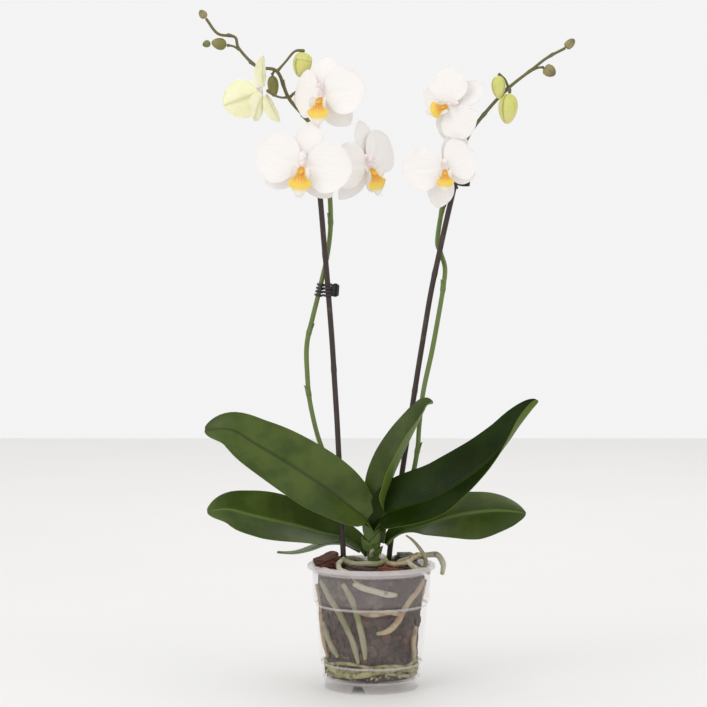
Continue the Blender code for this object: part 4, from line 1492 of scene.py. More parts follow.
@dataclass
class Leaf:
    """One leaf: where its midrib runs, which way it faces and how its blade is shaped."""

    name: str
    route: tuple[Vector, ...]
    faces: tuple[Vector, ...]
    half_width: float
    neck: float
    peak: float
    blunt: float
    folds: tuple[float, ...]
    groove: float = 0.0009
    wave: float = 0.0012
    thickness: float = 0.0021
    # The clasping base: its share of the length, the way it faces and how far it folds up, in degrees
    sheath: float = 0.0
    clasp: Vector = field(default_factory=lambda: Vector((0.0, -1.0, 0.0)))
    clasp_fold: float = 62.0
    finish: LeafFinish = LeafFinish()

    def build(self, rows: int = 56, columns: int = 24) -> None:
        """Makes the folded, gently waved blade, thick along its midrib and thin at its margins.

        Args:
            rows: how many rows of points, less one.
            columns: how many points across, less one.
        """
        midrib = even(smooth(self.route, 16), 240)
        seed = sum(ord(letter) for letter in self.name) * 0.37
        grid = []
        for i in range(rows + 1):
            share = min(0.5 - 0.5 * math.cos(math.pi * i / rows), 0.9985)
            at = share * (len(midrib) - 1)
            k = min(int(at), len(midrib) - 2)
            place = midrib[k].lerp(midrib[k + 1], at - k)
            ahead, behind = midrib[min(k + 5, len(midrib) - 1)], midrib[max(k - 4, 0)]
            along = (ahead - behind).normalized()
            blade = max((share - self.sheath) / (1.0 - self.sheath), 0.0)
            clasping = ease(self.sheath * 1.5, self.sheath * 0.4, share) if self.sheath else 0.0
            hint = spread(self.faces, blade).lerp(self.clasp, clasping)
            normal = (hint - along * hint.dot(along)).normalized()
            side = along.cross(normal)
            half = half_width_at(self, blade)
            fold = math.radians(spread(self.folds, blade) * (1.0 - clasping) + self.clasp_fold * clasping)
            row = []
            for j in range(columns + 1):
                across = math.sin(math.pi / 2 * (2 * j / columns - 1))
                lift = half * math.sin(fold) * abs(across) ** 1.25
                lift -= self.groove * math.exp(-(across / 0.07) ** 2) * (1.0 - share * 0.6)
                swing = rough(Vector((share * 3.0, across, seed)), 1.0)
                lift += self.wave * across * swing * ease(0, 0.3, share)
                row.append(place + side * across * half * math.cos(fold) + normal * lift)
            grid.append(row)
        surface = Surface(f"{self.name}_blade")

        def thick(share: float, across: float) -> float:
            """The thickness there."""
            level = math.sin(math.pi / 2 * across)
            end = ease(1.0, 0.93, share)
            return self.thickness * (0.28 + 0.72 * (1.0 - abs(level) ** 2.2)) * (0.45 + 0.55 * end)

        surface.shell(grid, thick)
        surface.made(self.finish, "leaf", [self.name])


PALE_RIB = LeafFinish("leaf_skin_pale_rib", midrib=paint(104, 128, 60), midrib_strength=0.8)

# Painted shade: a darker, less shiny copy of the leaf skin for the leaf that lies in shade
SHADED_LEAF = LeafFinish(
    "leaf_shaded", paint(22, 36, 4), paint(34, 50, 10), paint(20, 32, 4), paint(88, 108, 36),
    paint(44, 60, 14), 0.08,
)

LEAVES = (
    Leaf(
        "leaf_upper_left",
        (mm(3, -7, 148), mm(-5, -10, 160), mm(-18, -13, 170), mm(-37, -18, 185.5), mm(-62, -24, 203),
         mm(-85, -27, 218), mm(-108, -28, 231.5), mm(-132, -25, 245), mm(-157, -21, 245)),
        (Vector((0.45, -0.85, 0.55)), Vector((0.25, -0.90, 0.40)), Vector((0.15, -0.88, 0.48)),
         Vector((-0.1, -0.85, 0.60))),
        0.0285, 0.0095, 0.46, 0.46, (26, 12, 9, 10), wave=0.002, sheath=0.08,
        clasp=Vector((0.5, -0.85, 0.3)), clasp_fold=50.0,
    ),
    Leaf(
        "leaf_lower_left",
        (mm(-5, 12, 122), mm(-13, 19, 131), mm(-27, 22, 138), mm(-46, 19, 142.5), mm(-66, 13, 149),
         mm(-90, 6, 155.5), mm(-117, 1, 162.5), mm(-136, -1, 167.5), mm(-156, -3, 166)),
        (Vector((0.2, -0.30, 0.9)), Vector((0.0, -0.65, 0.7)), Vector((0.0, -0.76, 0.66)),
         Vector((-0.2, -0.72, 0.70))),
        0.0275, 0.0050, 0.62, 0.55, (36, 20, 14, 8), finish=PALE_RIB,
    ),
    Leaf(
        "leaf_small_left",
        (mm(-11, 23, 125), mm(-26, 31, 131), mm(-42, 34, 131), mm(-58, 37, 125), mm(-74, 39, 121.5),
         mm(-91, 40, 122)),
        (Vector((0.0, -0.10, 1.0)), Vector((0.0, -0.06, 1.0)), Vector((0.0, 0.0, 1.0))),
        0.0150, 0.0045, 0.50, 0.7, (20, 10, 4),
    ),
    Leaf(
        "leaf_centre",
        (mm(4, 0, 138), mm(7, -1, 156), mm(11, -2, 174), mm(18.5, -5, 197), mm(25, -8, 213), mm(33, -8, 230),
         mm(41.5, -8, 247), mm(47.5, -8, 260), mm(52, -8, 268), mm(58.5, -8, 270)),
        (Vector((-1.0, -0.55, 0.2)), Vector((-0.9, -0.50, 0.45)), Vector((-0.8, -0.45, 0.55)),
         Vector((-0.3, -0.40, 0.9))),
        0.0215, 0.0115, 0.48, 0.50, (44, 42, 38, 24), sheath=0.22, clasp=Vector((-0.45, -0.9, 0.1)),
        clasp_fold=20.0,
    ),
    Leaf(
        "leaf_upper_right",
        (mm(1, -8, 150), mm(10, -12, 162), mm(28, -18, 171), mm(57, -27, 181), mm(83, -32, 196),
         mm(107, -35, 214), mm(125, -35, 233), mm(138, -33, 251), mm(149, -31, 265), mm(156, -29, 273)),
        (Vector((-0.3, -0.75, 0.60)), Vector((-0.40, -0.70, 0.60)), Vector((-0.60, -0.58, 0.50)),
         Vector((-0.62, -0.22, 0.70))),
        0.0290, 0.0090, 0.38, 0.46, (24, 20, 38, 50), sheath=0.07, clasp=Vector((-0.5, -0.85, 0.3)),
        clasp_fold=44.0, finish=SHADED_LEAF,
    ),
    Leaf(
        "leaf_lower_right",
        (mm(14.5, 0, 134), mm(21, 2, 141), mm(30, 4, 146), mm(44, 8, 149), mm(62, 9, 155), mm(80, 8, 160.5),
         mm(98, 6, 164), mm(118, 4, 166), mm(137, 2, 165), mm(147, 2, 163)),
        (Vector((-0.5, -0.35, 0.8)), Vector((-0.1, -0.60, 0.75)), Vector((0.0, -0.76, 0.64)),
         Vector((0.2, -0.75, 0.66))),
        0.0270, 0.0048, 0.62, 0.60, (40, 14, -12, -14), finish=PALE_RIB,
    ),
)


@dataclass
class Crown:
    """The short stem: a flattened body under overlapping sheaths, a nub and an old curled root."""

    profile: tuple[tuple[float, float], ...] = (
        (6.0, 103), (6.4, 112), (5.6, 119), (6.0, 127), (7.6, 135), (9.4, 143), (10.2, 150), (9.6, 156),
        (7.0, 161), (3.0, 163),
    )
    flatness: float = 0.56
    middle: float = 0.0015
    skin: StemFinish = StemFinish(
        "crown_skin", paint(106, 66, 48), paint(84, 108, 40), 0.110, 0.130, paint(122, 128, 58)
    )

    def build(self) -> None:
        """Makes the body, the sheaths round it, and the small nub and curl."""
        surface = Surface("crown_stem")
        points = smooth([Vector((radius * MM, 0.0, height * MM)) for radius, height in self.profile], 6)
        line = [Vector((self.middle, 0.0, point.z)) for point in points]

        def reach(share: float, angle: float) -> float:
            """The half width, with a shallow furrow at each side where the sheaths meet."""
            furrow = 1.0 - 0.07 * abs(math.sin(2.0 * angle + 9.0 * share))
            return spread(points, share).x * furrow

        surface.tube(line, reach, 32, lambda share: self.flatness, Vector((1.0, 0.0, 0.0)))
        for index in range(3):
            self.sheath(surface, index)
        surface.made(self.skin, "stem", ["crown"])
        extras = Surface("crown_nub_and_curl")
        extras.tube(even(smooth((mm(0, -3, 124), mm(0, -8, 128), mm(1.5, -12, 131)), 6), 12),
                    lambda share, angle: 0.0021 * (1.0 - 0.35 * share), 12)
        ring = [mm(10 + 2.3 * math.cos(t), -12, 124.5 + 2.2 * math.sin(t))
                for t in (k * 0.42 - 1.2 for k in range(13))]
        extras.tube(ring, lambda share, angle: 0.0007, 8)
        extras.made(RootFinish("nub_coat", dry=paint(206, 200, 176)), "root")

    def sheath(self, surface: Surface, index: int) -> None:
        """A leaf base that clasps the stem, open in a V on one side.

        Args:
            surface: the mesh that it joins.
            index: which one, from the lowest.
        """
        low, side = 0.120 + 0.0085 * index, -1.0 if index % 2 else 1.0
        widths, foot, tip = [radius for radius, _ in self.profile], self.profile[0][1], self.profile[-1][1]
        grid = []
        for i in range(13):
            share = i / 12
            height = low + 0.013 * share
            row = []
            for j in range(19):
                across = 2 * j / 18 - 1
                angle = across * (2.1 - 0.9 * share)
                width = spread(widths, min(max((height / MM - foot) / (tip - foot), 0.0), 1.0)) * MM
                width = width * (1.03 + 0.02 * index) + 0.0006
                row.append(Vector((
                    side * math.cos(angle) * width + self.middle, math.sin(angle) * width * self.flatness,
                    height - 0.004 * across * across,
                )))
            grid.append(row)
        surface.shell(grid, lambda share, across: 0.0009 * (1.0 - 0.6 * abs(across)))


# ---------------------------------------------------------------- spikes, buds and flowers


@dataclass
class Spike:
    """One flower spike: its route, the stalks that leave it and the bracts at its nodes."""

    name: str
    route: tuple[Vector, ...]
    stalks: dict[str, tuple[Vector, ...]]
    bracts: tuple[float, ...]
    radius: float = 0.0023
    rachis: float = 0.0014
    stalk: float = 0.0011
    # The shares of the length between which the stem thins to the rachis
    thins: tuple[float, float] = (0.52, 0.98)
    skin: StemFinish = StemFinish("spike_skin", paint(98, 118, 54), paint(104, 100, 60), 0.46, 0.57)

    def build(self) -> None:
        """Makes the stem, its stalks and its bracts as one piece."""
        surface = Surface(f"{self.name}_stem")
        line = even(smooth(self.route, 8), 260)

        def reach(share: float, angle: float) -> float:
            """The radius, stepping down after the first flower and swelling at each bract."""
            node = sum(math.exp(-((share - at) / 0.005) ** 2) for at in self.bracts)
            return self.body_at(share) * (1.0 + 0.20 * node + 0.03 * math.sin(4 * angle + 25 * share))

        surface.tube(line, reach, 18)
        for stalk in self.stalks.values():
            self.stalk_of(surface, stalk)
        for index, at in enumerate(self.bracts):
            self.bract(surface, line, at, index)
        surface.made(self.skin, "stem", [self.name])

    def body_at(self, share: float) -> float:
        """The stem's radius between its nodes, at a share of its length."""
        return self.radius + (self.rachis - self.radius) * ease(*self.thins, share)

    def stalk_of(self, surface: Surface, route: Sequence[Vector]) -> None:
        """A flower's stalk, ribbed and swollen at both ends.

        Args:
            surface: the mesh that it joins.
            route: the points that it passes.
        """

        def reach(share: float, angle: float) -> float:
            """The radius there."""
            ends = 0.35 * ease(0.25, 0.0, share) + 0.45 * ease(0.7, 1.0, share)
            return self.stalk * (1.0 + ends) * (1.0 + 0.06 * math.cos(6 * angle))

        surface.tube(even(smooth(route, 8), 34), reach, 18)

    def bract(self, surface: Surface, line: Sequence[Vector], at: float, index: int) -> None:
        """A small scale leaf that clasps the stem above a node.

        Args:
            surface: the mesh that it joins.
            line: the stem's middle line.
            at: how far up the stem it is.
            index: which one, from the lowest.
        """
        k = int(at * (len(line) - 1))
        along = (line[k + 1] - line[k - 1]).normalized()
        side = (UP.cross(along) if abs(along.z) < 0.9 else Vector((1, 0, 0))).normalized()
        side = Matrix.Rotation(math.pi * (index % 2) + 0.4, 3, along) @ side
        other = along.cross(side)
        body = self.body_at(at)
        length = body * (4.4 if at < 0.6 else 3.2)
        grid = []
        for i in range(11):
            share = i / 10
            width = 1.9 * (1.0 - share) ** 0.7 + 0.12
            row = []
            for j in range(11):
                angle = (2 * j / 10 - 1) * width
                radius = body * (1.16 + 0.5 * share * share)
                row.append(line[k] + along * share * length
                           + side * math.cos(angle) * radius + other * math.sin(angle) * radius)
            grid.append(row)
        surface.shell(grid, lambda share, across: body * 0.16 * (1.1 - share))


SPIKES = (
    Spike(
        "spike_left",
        (mm(-10, 9, 168), mm(-24, 12, 190), mm(-46, 15, 222), mm(-58, 15, 265), mm(-61.5, 15, 300),
         mm(-61.5, 15, 325), mm(-56, 15, 350), mm(-50.5, 14, 372), mm(-47.5, 15, 385), mm(-42, 20, 410),
         mm(-39, 22, 438), mm(-40, 22, 470), mm(-44, 23, 505), mm(-58, 26, 535), mm(-79, 22, 560),
         mm(-90, 12, 585), mm(-109, 6, 589), mm(-126, 4, 606), mm(-130, 3, 617), mm(-146, 2, 620),
         mm(-157, 0, 634)),
        {
            "a": (mm(-79, 22, 560), mm(-72, 20, 566), mm(-58, 11, 569), mm(-49, 1, 565),
                  mm(-45.6, -6.8, 561.4)),
            "b": (mm(-44, 22, 505), mm(-52, 18, 508), mm(-61, 4, 502), mm(-64.8, -16.6, 495.3)),
            "c": (mm(-40, 22, 475), mm(-33, 25, 482), mm(-19, 23, 491), mm(-6.4, 10.6, 495.8)),
            "d": (mm(-80, 21.5, 561), mm(-86, 12, 560), mm(-92, -4, 561), mm(-98.6, -9.8, 565.2)),
            "g": (mm(-90, 12, 585), mm(-82, 11, 594), mm(-73, 10, 604), mm(-64, 10, 604.5)),
            "h": (mm(-90, 12, 586), mm(-93, 14, 585), mm(-95, 15, 582)),
            "i": (mm(-126, 4, 605), mm(-131, 3, 608), mm(-137, 2, 609)),
        },
        (0.10, 0.225, 0.335, 0.535, 0.595, 0.73, 0.805, 0.88, 0.945),
    ),
    Spike(
        "spike_right",
        (mm(13, 12, 166), mm(24, 14, 180), mm(38, 15, 196), mm(44, 15, 222), mm(46, 15, 247),
         mm(50, 15, 280), mm(58, 15, 317), mm(65, 15, 355), mm(69.5, 17, 382), mm(71, 28, 398),
         mm(67, 31, 412), mm(64, 31, 425), mm(71, 31, 465), mm(82, 30, 495), mm(94, 24, 525),
         mm(112, 16, 549), mm(131, 9, 569), mm(154, 4, 587), mm(167, 2, 597), mm(184, 0, 606)),
        {
            "e": (mm(94, 24, 525), mm(93, 20, 534), mm(85, 6, 547), mm(77.5, -5.2, 551)),
            "f": (mm(82, 30, 495), mm(84, 25, 500), mm(79, 10, 497), mm(70, -8.4, 492.3)),
            "l": (mm(131, 9, 569), mm(127, 5, 577), mm(121, 1, 581.5)),
            "m": (mm(125, 11, 562.5), mm(129, 6, 567), mm(131.8, 2, 567.5), mm(131.3, 0.3, 563.8)),
            "k": (mm(154, 4, 586), mm(160, 4, 588), mm(164, 4, 588)),
        },
        (0.13, 0.44, 0.60, 0.66, 0.725, 0.80, 0.865, 0.92, 0.97),
    ),
)


class BudColour(Enum):
    """The colours of buds, from the youngest to those about to open: body and tip."""

    LIME = (paint(210, 210, 116), paint(222, 216, 140))
    OLIVE = (paint(124, 120, 62), paint(146, 136, 84))
    BROWNISH = (paint(150, 138, 92), paint(112, 100, 62))
    GREEN = (paint(112, 128, 62), paint(92, 104, 52))


@dataclass
class Bud:
    """One bud: where its stalk meets it, its tip, its greatest radius and its colour."""

    name: str
    base: Vector
    tip: Vector
    radius: float
    colour: BudColour
    capped: bool = False

    def build(self, rows: int = 30, sides: int = 36) -> None:
        """Makes an egg with three seams, a small nib, and on some a bract over the stalk end.

        Args:
            rows: how many rows of points, less one.
            sides: how many points round.
        """
        surface = Surface(f"{self.name}_body")
        axis = self.tip - self.base
        turn = axis.to_track_quat("Z", "Y").to_matrix()
        rings = []
        for i in range(rows + 1):
            share = i / rows
            polar = math.pi * min(max(share, 0.015), 0.985)
            height = (1.0 - math.cos(polar)) / 2
            ring = []
            for k in range(sides):
                angle = math.tau * k / sides
                seam = max(0.0, 1.0 - abs(((angle * 3 / math.tau) % 1.0) - 0.5) / 0.07)
                radius = self.radius * math.sin(polar) * (1.08 - 0.34 * height)
                radius *= 1.0 - 0.055 * seam + 0.02 * math.cos(3 * angle)
                spot = Vector((math.cos(angle) * radius, math.sin(angle) * radius, height * axis.length))
                ring.append(surface.point(self.base + turn @ spot, along=height, seam=seam))
            rings.append(ring)
        surface.grid(rings, closed=True)
        surface.fan(rings[0][::-1], surface.point(self.base, along=0.0))
        surface.fan(rings[-1], surface.point(self.tip, along=1.0))
        if self.capped:
            self.cap(surface, turn, axis.length)
        body, tip = self.colour.value
        surface.made(BudFinish(f"bud_{self.colour.name.lower()}", body, tip), "bud", [self.name])

    def cap(self, surface: Surface, turn: Matrix, length: float) -> None:
        """A bract that still covers the stalk end of the bud.

        Args:
            surface: the mesh that it joins.
            turn: which way the bud points.
            length: the bud's length.
        """
        grid = []
        for i in range(9):
            share = i / 8
            height = 0.02 + 0.32 * share
            row = []
            for j in range(15):
                angle = (2 * j / 14 - 1) * (2.4 - 1.6 * share)
                radius = self.radius * math.sin(math.acos(1 - 2 * height)) * (1.12 - 0.34 * height)
                row.append(self.base + turn @ Vector(
                    (math.cos(angle) * radius, math.sin(angle) * radius, height * length)))
            grid.append(row)
        surface.shell(grid, lambda share, across: 0.0006)


BUDS = (
    Bud("bud_left_large", mm(-64, 10, 602.8), mm(-68, 9, 579), 0.0098, BudColour.LIME, True),
    Bud("bud_left_hidden", mm(-95.0, 15.6, 581.3), mm(-93, 17, 561), 0.0058, BudColour.OLIVE),
    Bud("bud_left_olive", mm(-137.8, 2, 608.9), mm(-152, 2, 612), 0.0062, BudColour.OLIVE),
    Bud("bud_left_small", mm(-153.2, 2, 611.6), mm(-160.5, 2, 609), 0.0038, BudColour.GREEN),
    Bud("bud_left_tip", mm(-157.4, 0, 634.7), mm(-163, 0, 642), 0.0042, BudColour.BROWNISH),
    Bud("bud_right_upper", mm(120.5, 0, 579.8), mm(121, -1, 558), 0.0074, BudColour.LIME),
    Bud("bud_right_large", mm(131.2, 0, 562.8), mm(128.5, -1, 534), 0.0100, BudColour.LIME),
    Bud("bud_right_small", mm(164.8, 4, 588), mm(175, 3, 581), 0.0064, BudColour.BROWNISH, True),
    Bud("bud_right_tip", mm(184.7, 0, 606.5), mm(193, 0, 614.5), 0.0046, BudColour.BROWNISH, True),
)


@dataclass(frozen=True)
class Lobe:
    """One blade of a flower, in degrees and millimetres, in the flower's own frame.

    Its angle runs clockwise from the top as seen from the front; tilt, bend and cup lift it, its far end and
    its edges towards the front.
    """

    angle: float
    length: float
    half_width: float
    neck: float = 2.5
    tilt: float = 0.0
    bend: float = 0.0
    cup: float = 0.0
    peak: float = 0.52
    blunt: float = 0.62
    start: float = 3.0
    ruffle: float = 0.7

    def grid(self, depth: float, seed: float, rows: int, columns: int) -> list[list[Vector]]:
        """Its points in the flower's frame, in metres.

        Args:
            depth: how far in front of the flower's middle it starts, in millimetres.
            seed: what makes its ruffles differ.
            rows: how many rows of points, less one.
            columns: how many points across, less one.

        Returns:
            The rows of points, from base to tip.
        """
        angle, tilt = math.radians(self.angle), math.radians(self.tilt)
        flat = Vector((math.sin(angle), math.cos(angle), 0.0))
        out = flat * math.cos(tilt) + UP * math.sin(tilt)
        normal = UP * math.cos(tilt) - flat * math.sin(tilt)
        side = Vector((math.cos(angle), -math.sin(angle), 0.0))
        made = []
        for i in range(rows + 1):
            share = min(0.5 - 0.5 * math.cos(math.pi * i / rows), 0.998)
            half = half_width_at(self, share)
            row = []
            for j in range(columns + 1):
                across = math.sin(math.pi / 2 * (2 * j / columns - 1))
                edge = abs(across) ** 3 * ease(0.1, 0.5, share)
                spot = Vector((share * 2.2, across * 1.1, seed))
                ruffle = self.ruffle * (1.5 * edge * rough(spot, 2.1) + 0.55 * rough(spot, 1.3, 4.0) * share)
                crease = -0.5 * math.exp(-(across / 0.10) ** 2) * ease(1.0, 0.3, share)
                crease *= min(self.ruffle, 1.0)
                lift = self.bend * share ** 2 + self.cup * across ** 2 * half / self.half_width
                lift += ruffle + crease
                nudge = 1.0 + 0.03 * self.ruffle * rough(Vector((share * 4.0, seed, across)), 1.5)
                place = out * (self.start + share * self.length) + side * across * half * nudge
                row.append((place + normal * lift + UP * depth) * MM)
            made.append(row)
        return made


def three_sepals(
    dorsal: tuple[float, float], right: tuple[float, float], left: tuple[float, float],
    length: float = 36.0, half_width: float = 12.5,
) -> tuple[Lobe, ...]:
    """The three sepals; each pair is an angle from the top and a tilt towards the front.

    Args:
        dorsal: the top one.
        right: the lower right one.
        left: the lower left one.
        length: their length.
        half_width: half their width.

    Returns:
        The sepals.
    """
    return tuple(
        Lobe(angle, length, half_width, tilt=tilt, bend=-3, cup=2.0, start=4.0, neck=3.0)
        for angle, tilt in (dorsal, right, left)
    )


def two_petals(
    left: tuple[float, float, float], right: tuple[float, float, float],
    half_width: float = 23.0, bend: float = -3.0,
) -> tuple[Lobe, ...]:
    """The two broad petals, as an angle from the top, a tilt towards the front and a length each.

    Args:
        left: the left one.
        right: the right one.
        half_width: half their width.
        bend: how far their far ends come forward.

    Returns:
        The petals.
    """
    return tuple(
        Lobe(angle, length, half_width, tilt=tilt, bend=bend, cup=1.5, peak=0.5, blunt=0.55, ruffle=1.0)
        for angle, tilt, length in (left, right)
    )


@dataclass(frozen=True)
class Stand:
    """Where a flower is: its middle, its turn to the right, the lift of its face, its lean and its size."""

    centre: Vector
    turn: float
    lift: float
    lean: float
    size: float

    def matrix(self) -> Matrix:
        """The flower's frame: X to its right, Y up its face and Z out of its face.

        Returns:
            The matrix, with the flower's size in it.
        """
        turn, lift, lean = (math.radians(value) for value in (self.turn, self.lift, self.lean))
        front = Vector(
            (math.sin(turn) * math.cos(lift), -math.cos(turn) * math.cos(lift), math.sin(lift))
        )
        level = Vector((math.cos(turn), math.sin(turn), 0.0))
        upward = front.cross(level)
        right = level * math.cos(lean) - upward * math.sin(lean)
        top = upward * math.cos(lean) + level * math.sin(lean)
        turned = Matrix((right, top, front)).transposed().to_4x4()
        return Matrix.Translation(self.centre) @ turned @ Matrix.Scale(self.size, 4)


@dataclass
class Flower:
    """One flower: three sepals, two petals, the three-lobed lip and the column over it."""

    name: str
    stand: Stand
    sepals: tuple[Lobe, ...]
    petals: tuple[Lobe, ...]
    lip_size: float = 1.0
    lip_lean: float = 0.0
    skin: PetalFinish = PetalFinish()
    sepal_depth: float = -1.8
    petal_depth: float = 0.2
    sheet: float = 0.00055
    # The mid lobe from throat to tip: height on the face, half width and distance out of the face
    mid_lobe: tuple[tuple[float, float, float], ...] = (
        (-3, 2.6, 4.0), (-7, 3.4, 7.0), (-11, 4.6, 9.6), (-15, 8.8, 11.4), (-19, 11.2, 12.0),
        (-23, 8.8, 11.6), (-27, 5.0, 10.6), (-30, 2.2, 9.2),
    )

    def build(self) -> None:
        """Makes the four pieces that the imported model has, and the column."""
        matrix = self.stand.matrix()
        seed = sum(ord(letter) for letter in self.name) * 0.71
        sepals = Surface(f"{self.name}_sepal_whorl")
        for index, lobe in enumerate(self.sepals):
            self.blade(sepals, matrix, lobe, self.sepal_depth - 0.3 * index, seed + index, 30, 16)
        sepals.made(self.skin, "petal", [f"{self.name}_sepals"])
        for side, lobe, shift in zip(("left", "right"), self.petals, (11.0, 17.0)):
            petal = Surface(f"{self.name}_petal_{side}_blade")
            self.blade(petal, matrix, lobe, self.petal_depth, seed + shift, 44, 34)
            petal.made(self.skin, "petal", [f"{self.name}_petal_{side}"])
        self.lip(matrix, seed)
        self.column(matrix)

    def blade(
        self, surface: Surface, matrix: Matrix, lobe: Lobe, depth: float, seed: float, rows: int,
        columns: int,
    ) -> None:
        """Adds one sepal or petal to a surface."""
        grid = [[matrix @ spot for spot in row] for row in lobe.grid(depth, seed, rows, columns)]
        surface.shell(grid, lambda share, across: self.sheet * (1.0 - 0.5 * abs(across) ** 3))

    @property
    def lip_scale(self) -> float:
        """The size of the lip and the column in space."""
        return self.stand.size * self.lip_size

    def lip_frame(self, matrix: Matrix) -> Matrix:
        """The flower's frame, turned and scaled for the lip and the column."""
        return matrix @ Matrix.Rotation(math.radians(self.lip_lean), 4, "Z") @ Matrix.Scale(self.lip_size, 4)

    def lip(self, matrix: Matrix, seed: float) -> None:
        """The lip: an arrowhead mid lobe, two side lobes that stand up, and the callus between them.

        Args:
            matrix: the flower's frame.
            seed: what makes its wrinkles differ.
        """
        surface = Surface(f"{self.name}_lip_lobes")
        local = self.lip_frame(matrix)
        ridge = smooth([Vector(knot) for knot in self.mid_lobe], 6)
        grid, columns = [], 20
        for i, knot in enumerate(ridge):
            height, half, depth = knot
            share = i / (len(ridge) - 1)
            row = []
            for j in range(columns + 1):
                across = math.sin(math.pi / 2 * (2 * j / columns - 1))
                curl = 0.22 * half * across * across
                lift = 1.6 * ease(0.35, 0.6, share) * ease(1.0, 0.7, share) * across * across
                wrinkle = 0.25 * rough(Vector((share * 6.0, across * 2.0, seed)), 1.2)
                keel = 0.5 * math.exp(-(across / 0.2) ** 2)
                row.append(local @ mm(half * across, height + lift, depth - curl + keel + wrinkle))
            grid.append(row)
        first = len(surface.points)
        surface.shell(grid, lambda share, across: 0.0011 * (1.0 - 0.6 * abs(across) ** 2))
        self.tint(surface, first, lambda share, across: (
            max(ease(0.66, 0.86, share), ease(0.72, 0.98, abs(across)) * ease(0.45, 0.7, share)),
            ease(0.62, 0.30, share) * ease(0.9, 0.3, abs(across)) * 0.9))
        for side in (-1.0, 1.0):
            self.side_lobe(surface, local, side, seed)
            self.whisker(surface, local, side)
        callus = [local @ mm(0, -6.5 - 0.5 * k, 6.4 + 0.9 * k) for k in range(5)]
        first = len(surface.points)
        surface.tube(
            callus, lambda share, angle: 0.0017 * self.lip_scale * (1.0 + 0.3 * math.cos(2 * angle)), 16,
        )
        self.tint(surface, first, lambda share, across: (0.0, 0.55))
        surface.made(LipFinish(), "lip", [f"{self.name}_lip"])

    @staticmethod
    def tint(surface: Surface, first: int, shade: Callable[[float, float], tuple[float, float]]) -> None:
        """Sets the pale and warm marks of the points added since the first one.

        Args:
            surface: the lip's mesh.
            first: the first of the points.
            shade: gives both marks at a share of the length and a place across.
        """
        for name in ("pale", "warm"):
            surface.marks.setdefault(name, [0.0] * len(surface.points))
        across = surface.marks.setdefault("across", [0.0] * len(surface.points))
        for index in range(first, len(surface.points)):
            pale, warm = shade(surface.marks["along"][index], across[index])
            surface.marks["pale"][index] = pale
            surface.marks["warm"][index] = warm

    def side_lobe(self, surface: Surface, local: Matrix, side: float, seed: float) -> None:
        """One lobe that stands up beside the throat and leans in over it.

        Args:
            surface: the mesh that it joins.
            local: the lip's frame.
            side: -1 for the left one, 1 for the right one.
            seed: what makes its ruffles differ.
        """
        grid = []
        for i in range(15):
            share = i / 14
            row = []
            for j in range(15):
                across = math.sin(math.pi / 2 * (2 * j / 14 - 1))
                reach = 2.6 + 7.4 * share ** 0.8 - 1.6 * share ** 3
                tall = 6.3 * math.sqrt(max(1.0 - (share * 0.93) ** 2.6, 0.0))
                tall *= 0.7 + 0.3 * min(share * 3, 1)
                height = -9.0 + 1.5 * share + across * tall
                depth = 6.5 + 7.0 * share - 0.9 * across * across
                reach += 0.35 * rough(Vector((share * 3, across, seed * side)), 1.6)
                row.append(local @ mm(side * reach, height, depth))
            grid.append(row)
        first = len(surface.points)
        surface.shell(grid, lambda share, across: 0.0008 * (1.0 - 0.5 * abs(across)))
        self.tint(surface, first, lambda share, across: (ease(0.02, 0.2, share), 0.0))

    def whisker(self, surface: Surface, local: Matrix, side: float) -> None:
        """One of the two fine curls at the lip's tip.

        Args:
            surface: the mesh that it joins.
            local: the lip's frame.
            side: -1 for the left one, 1 for the right one.
        """
        route = [local @ mm(side * x, y, z) for x, y, z in
                 ((0.4, -29.4, 9.2), (1.4, -31.0, 9.6), (2.8, -31.2, 10.8), (3.3, -29.8, 11.8))]
        first = len(surface.points)
        surface.tube(even(smooth(route, 5), 14), lambda share, angle: 0.00035 * (1.15 - 0.7 * share), 8)
        self.tint(surface, first, lambda share, across: (1.0, 0.0))

    def column(self, matrix: Matrix) -> None:
        """The column: a thick white finger that ends in a rounded cap over a small hollow.

        Args:
            matrix: the flower's frame.
        """
        surface = Surface(f"{self.name}_column")
        local = self.lip_frame(matrix)
        knots = [local @ mm(0, y, z) for y, z in ((9.5, -0.5), (9.4, 3.5), (8.2, 7.0), (5.6, 9.4))]

        def reach(share: float, angle: float) -> float:
            """The radius: waisted, then full at the cap."""
            cap = ease(0.60, 0.82, share) * (1.0 - ease(0.90, 1.0, share) * 0.55)
            return (2.5 + 1.2 * cap + 0.10 * math.cos(3 * angle)) * MM * self.lip_scale

        surface.tube(even(smooth(knots, 8), 26), reach, 24)
        cap = [local @ mm(0, 4.9 - 0.35 * k, 9.3 + 0.55 * k) for k in range(5)]
        surface.tube(cap, lambda share, angle: 0.0021 * self.lip_scale * (1.0 - 0.5 * share * share), 20)
        boss = even([local @ mm(0, 8.5, -0.6), local @ mm(0, 1, -0.4), local @ mm(0, -7, 1.6)], 12)
        across = (local.to_3x3() @ Vector((1, 0, 0))).normalized()
        surface.tube(boss, lambda share, angle: 0.0042 * self.lip_scale, 20, lambda share: 0.34, across)
        finish = PetalFinish("column_skin", paint(246, 238, 236), paint(226, 206, 208), paint(242, 230, 228))
        surface.made(finish, "petal")


YOUNG_PETAL = PetalFinish(
    "petal_young", paint(252, 250, 230), paint(246, 242, 204), paint(206, 196, 140), paint(250, 248, 208),
    paint(196, 190, 138),
)

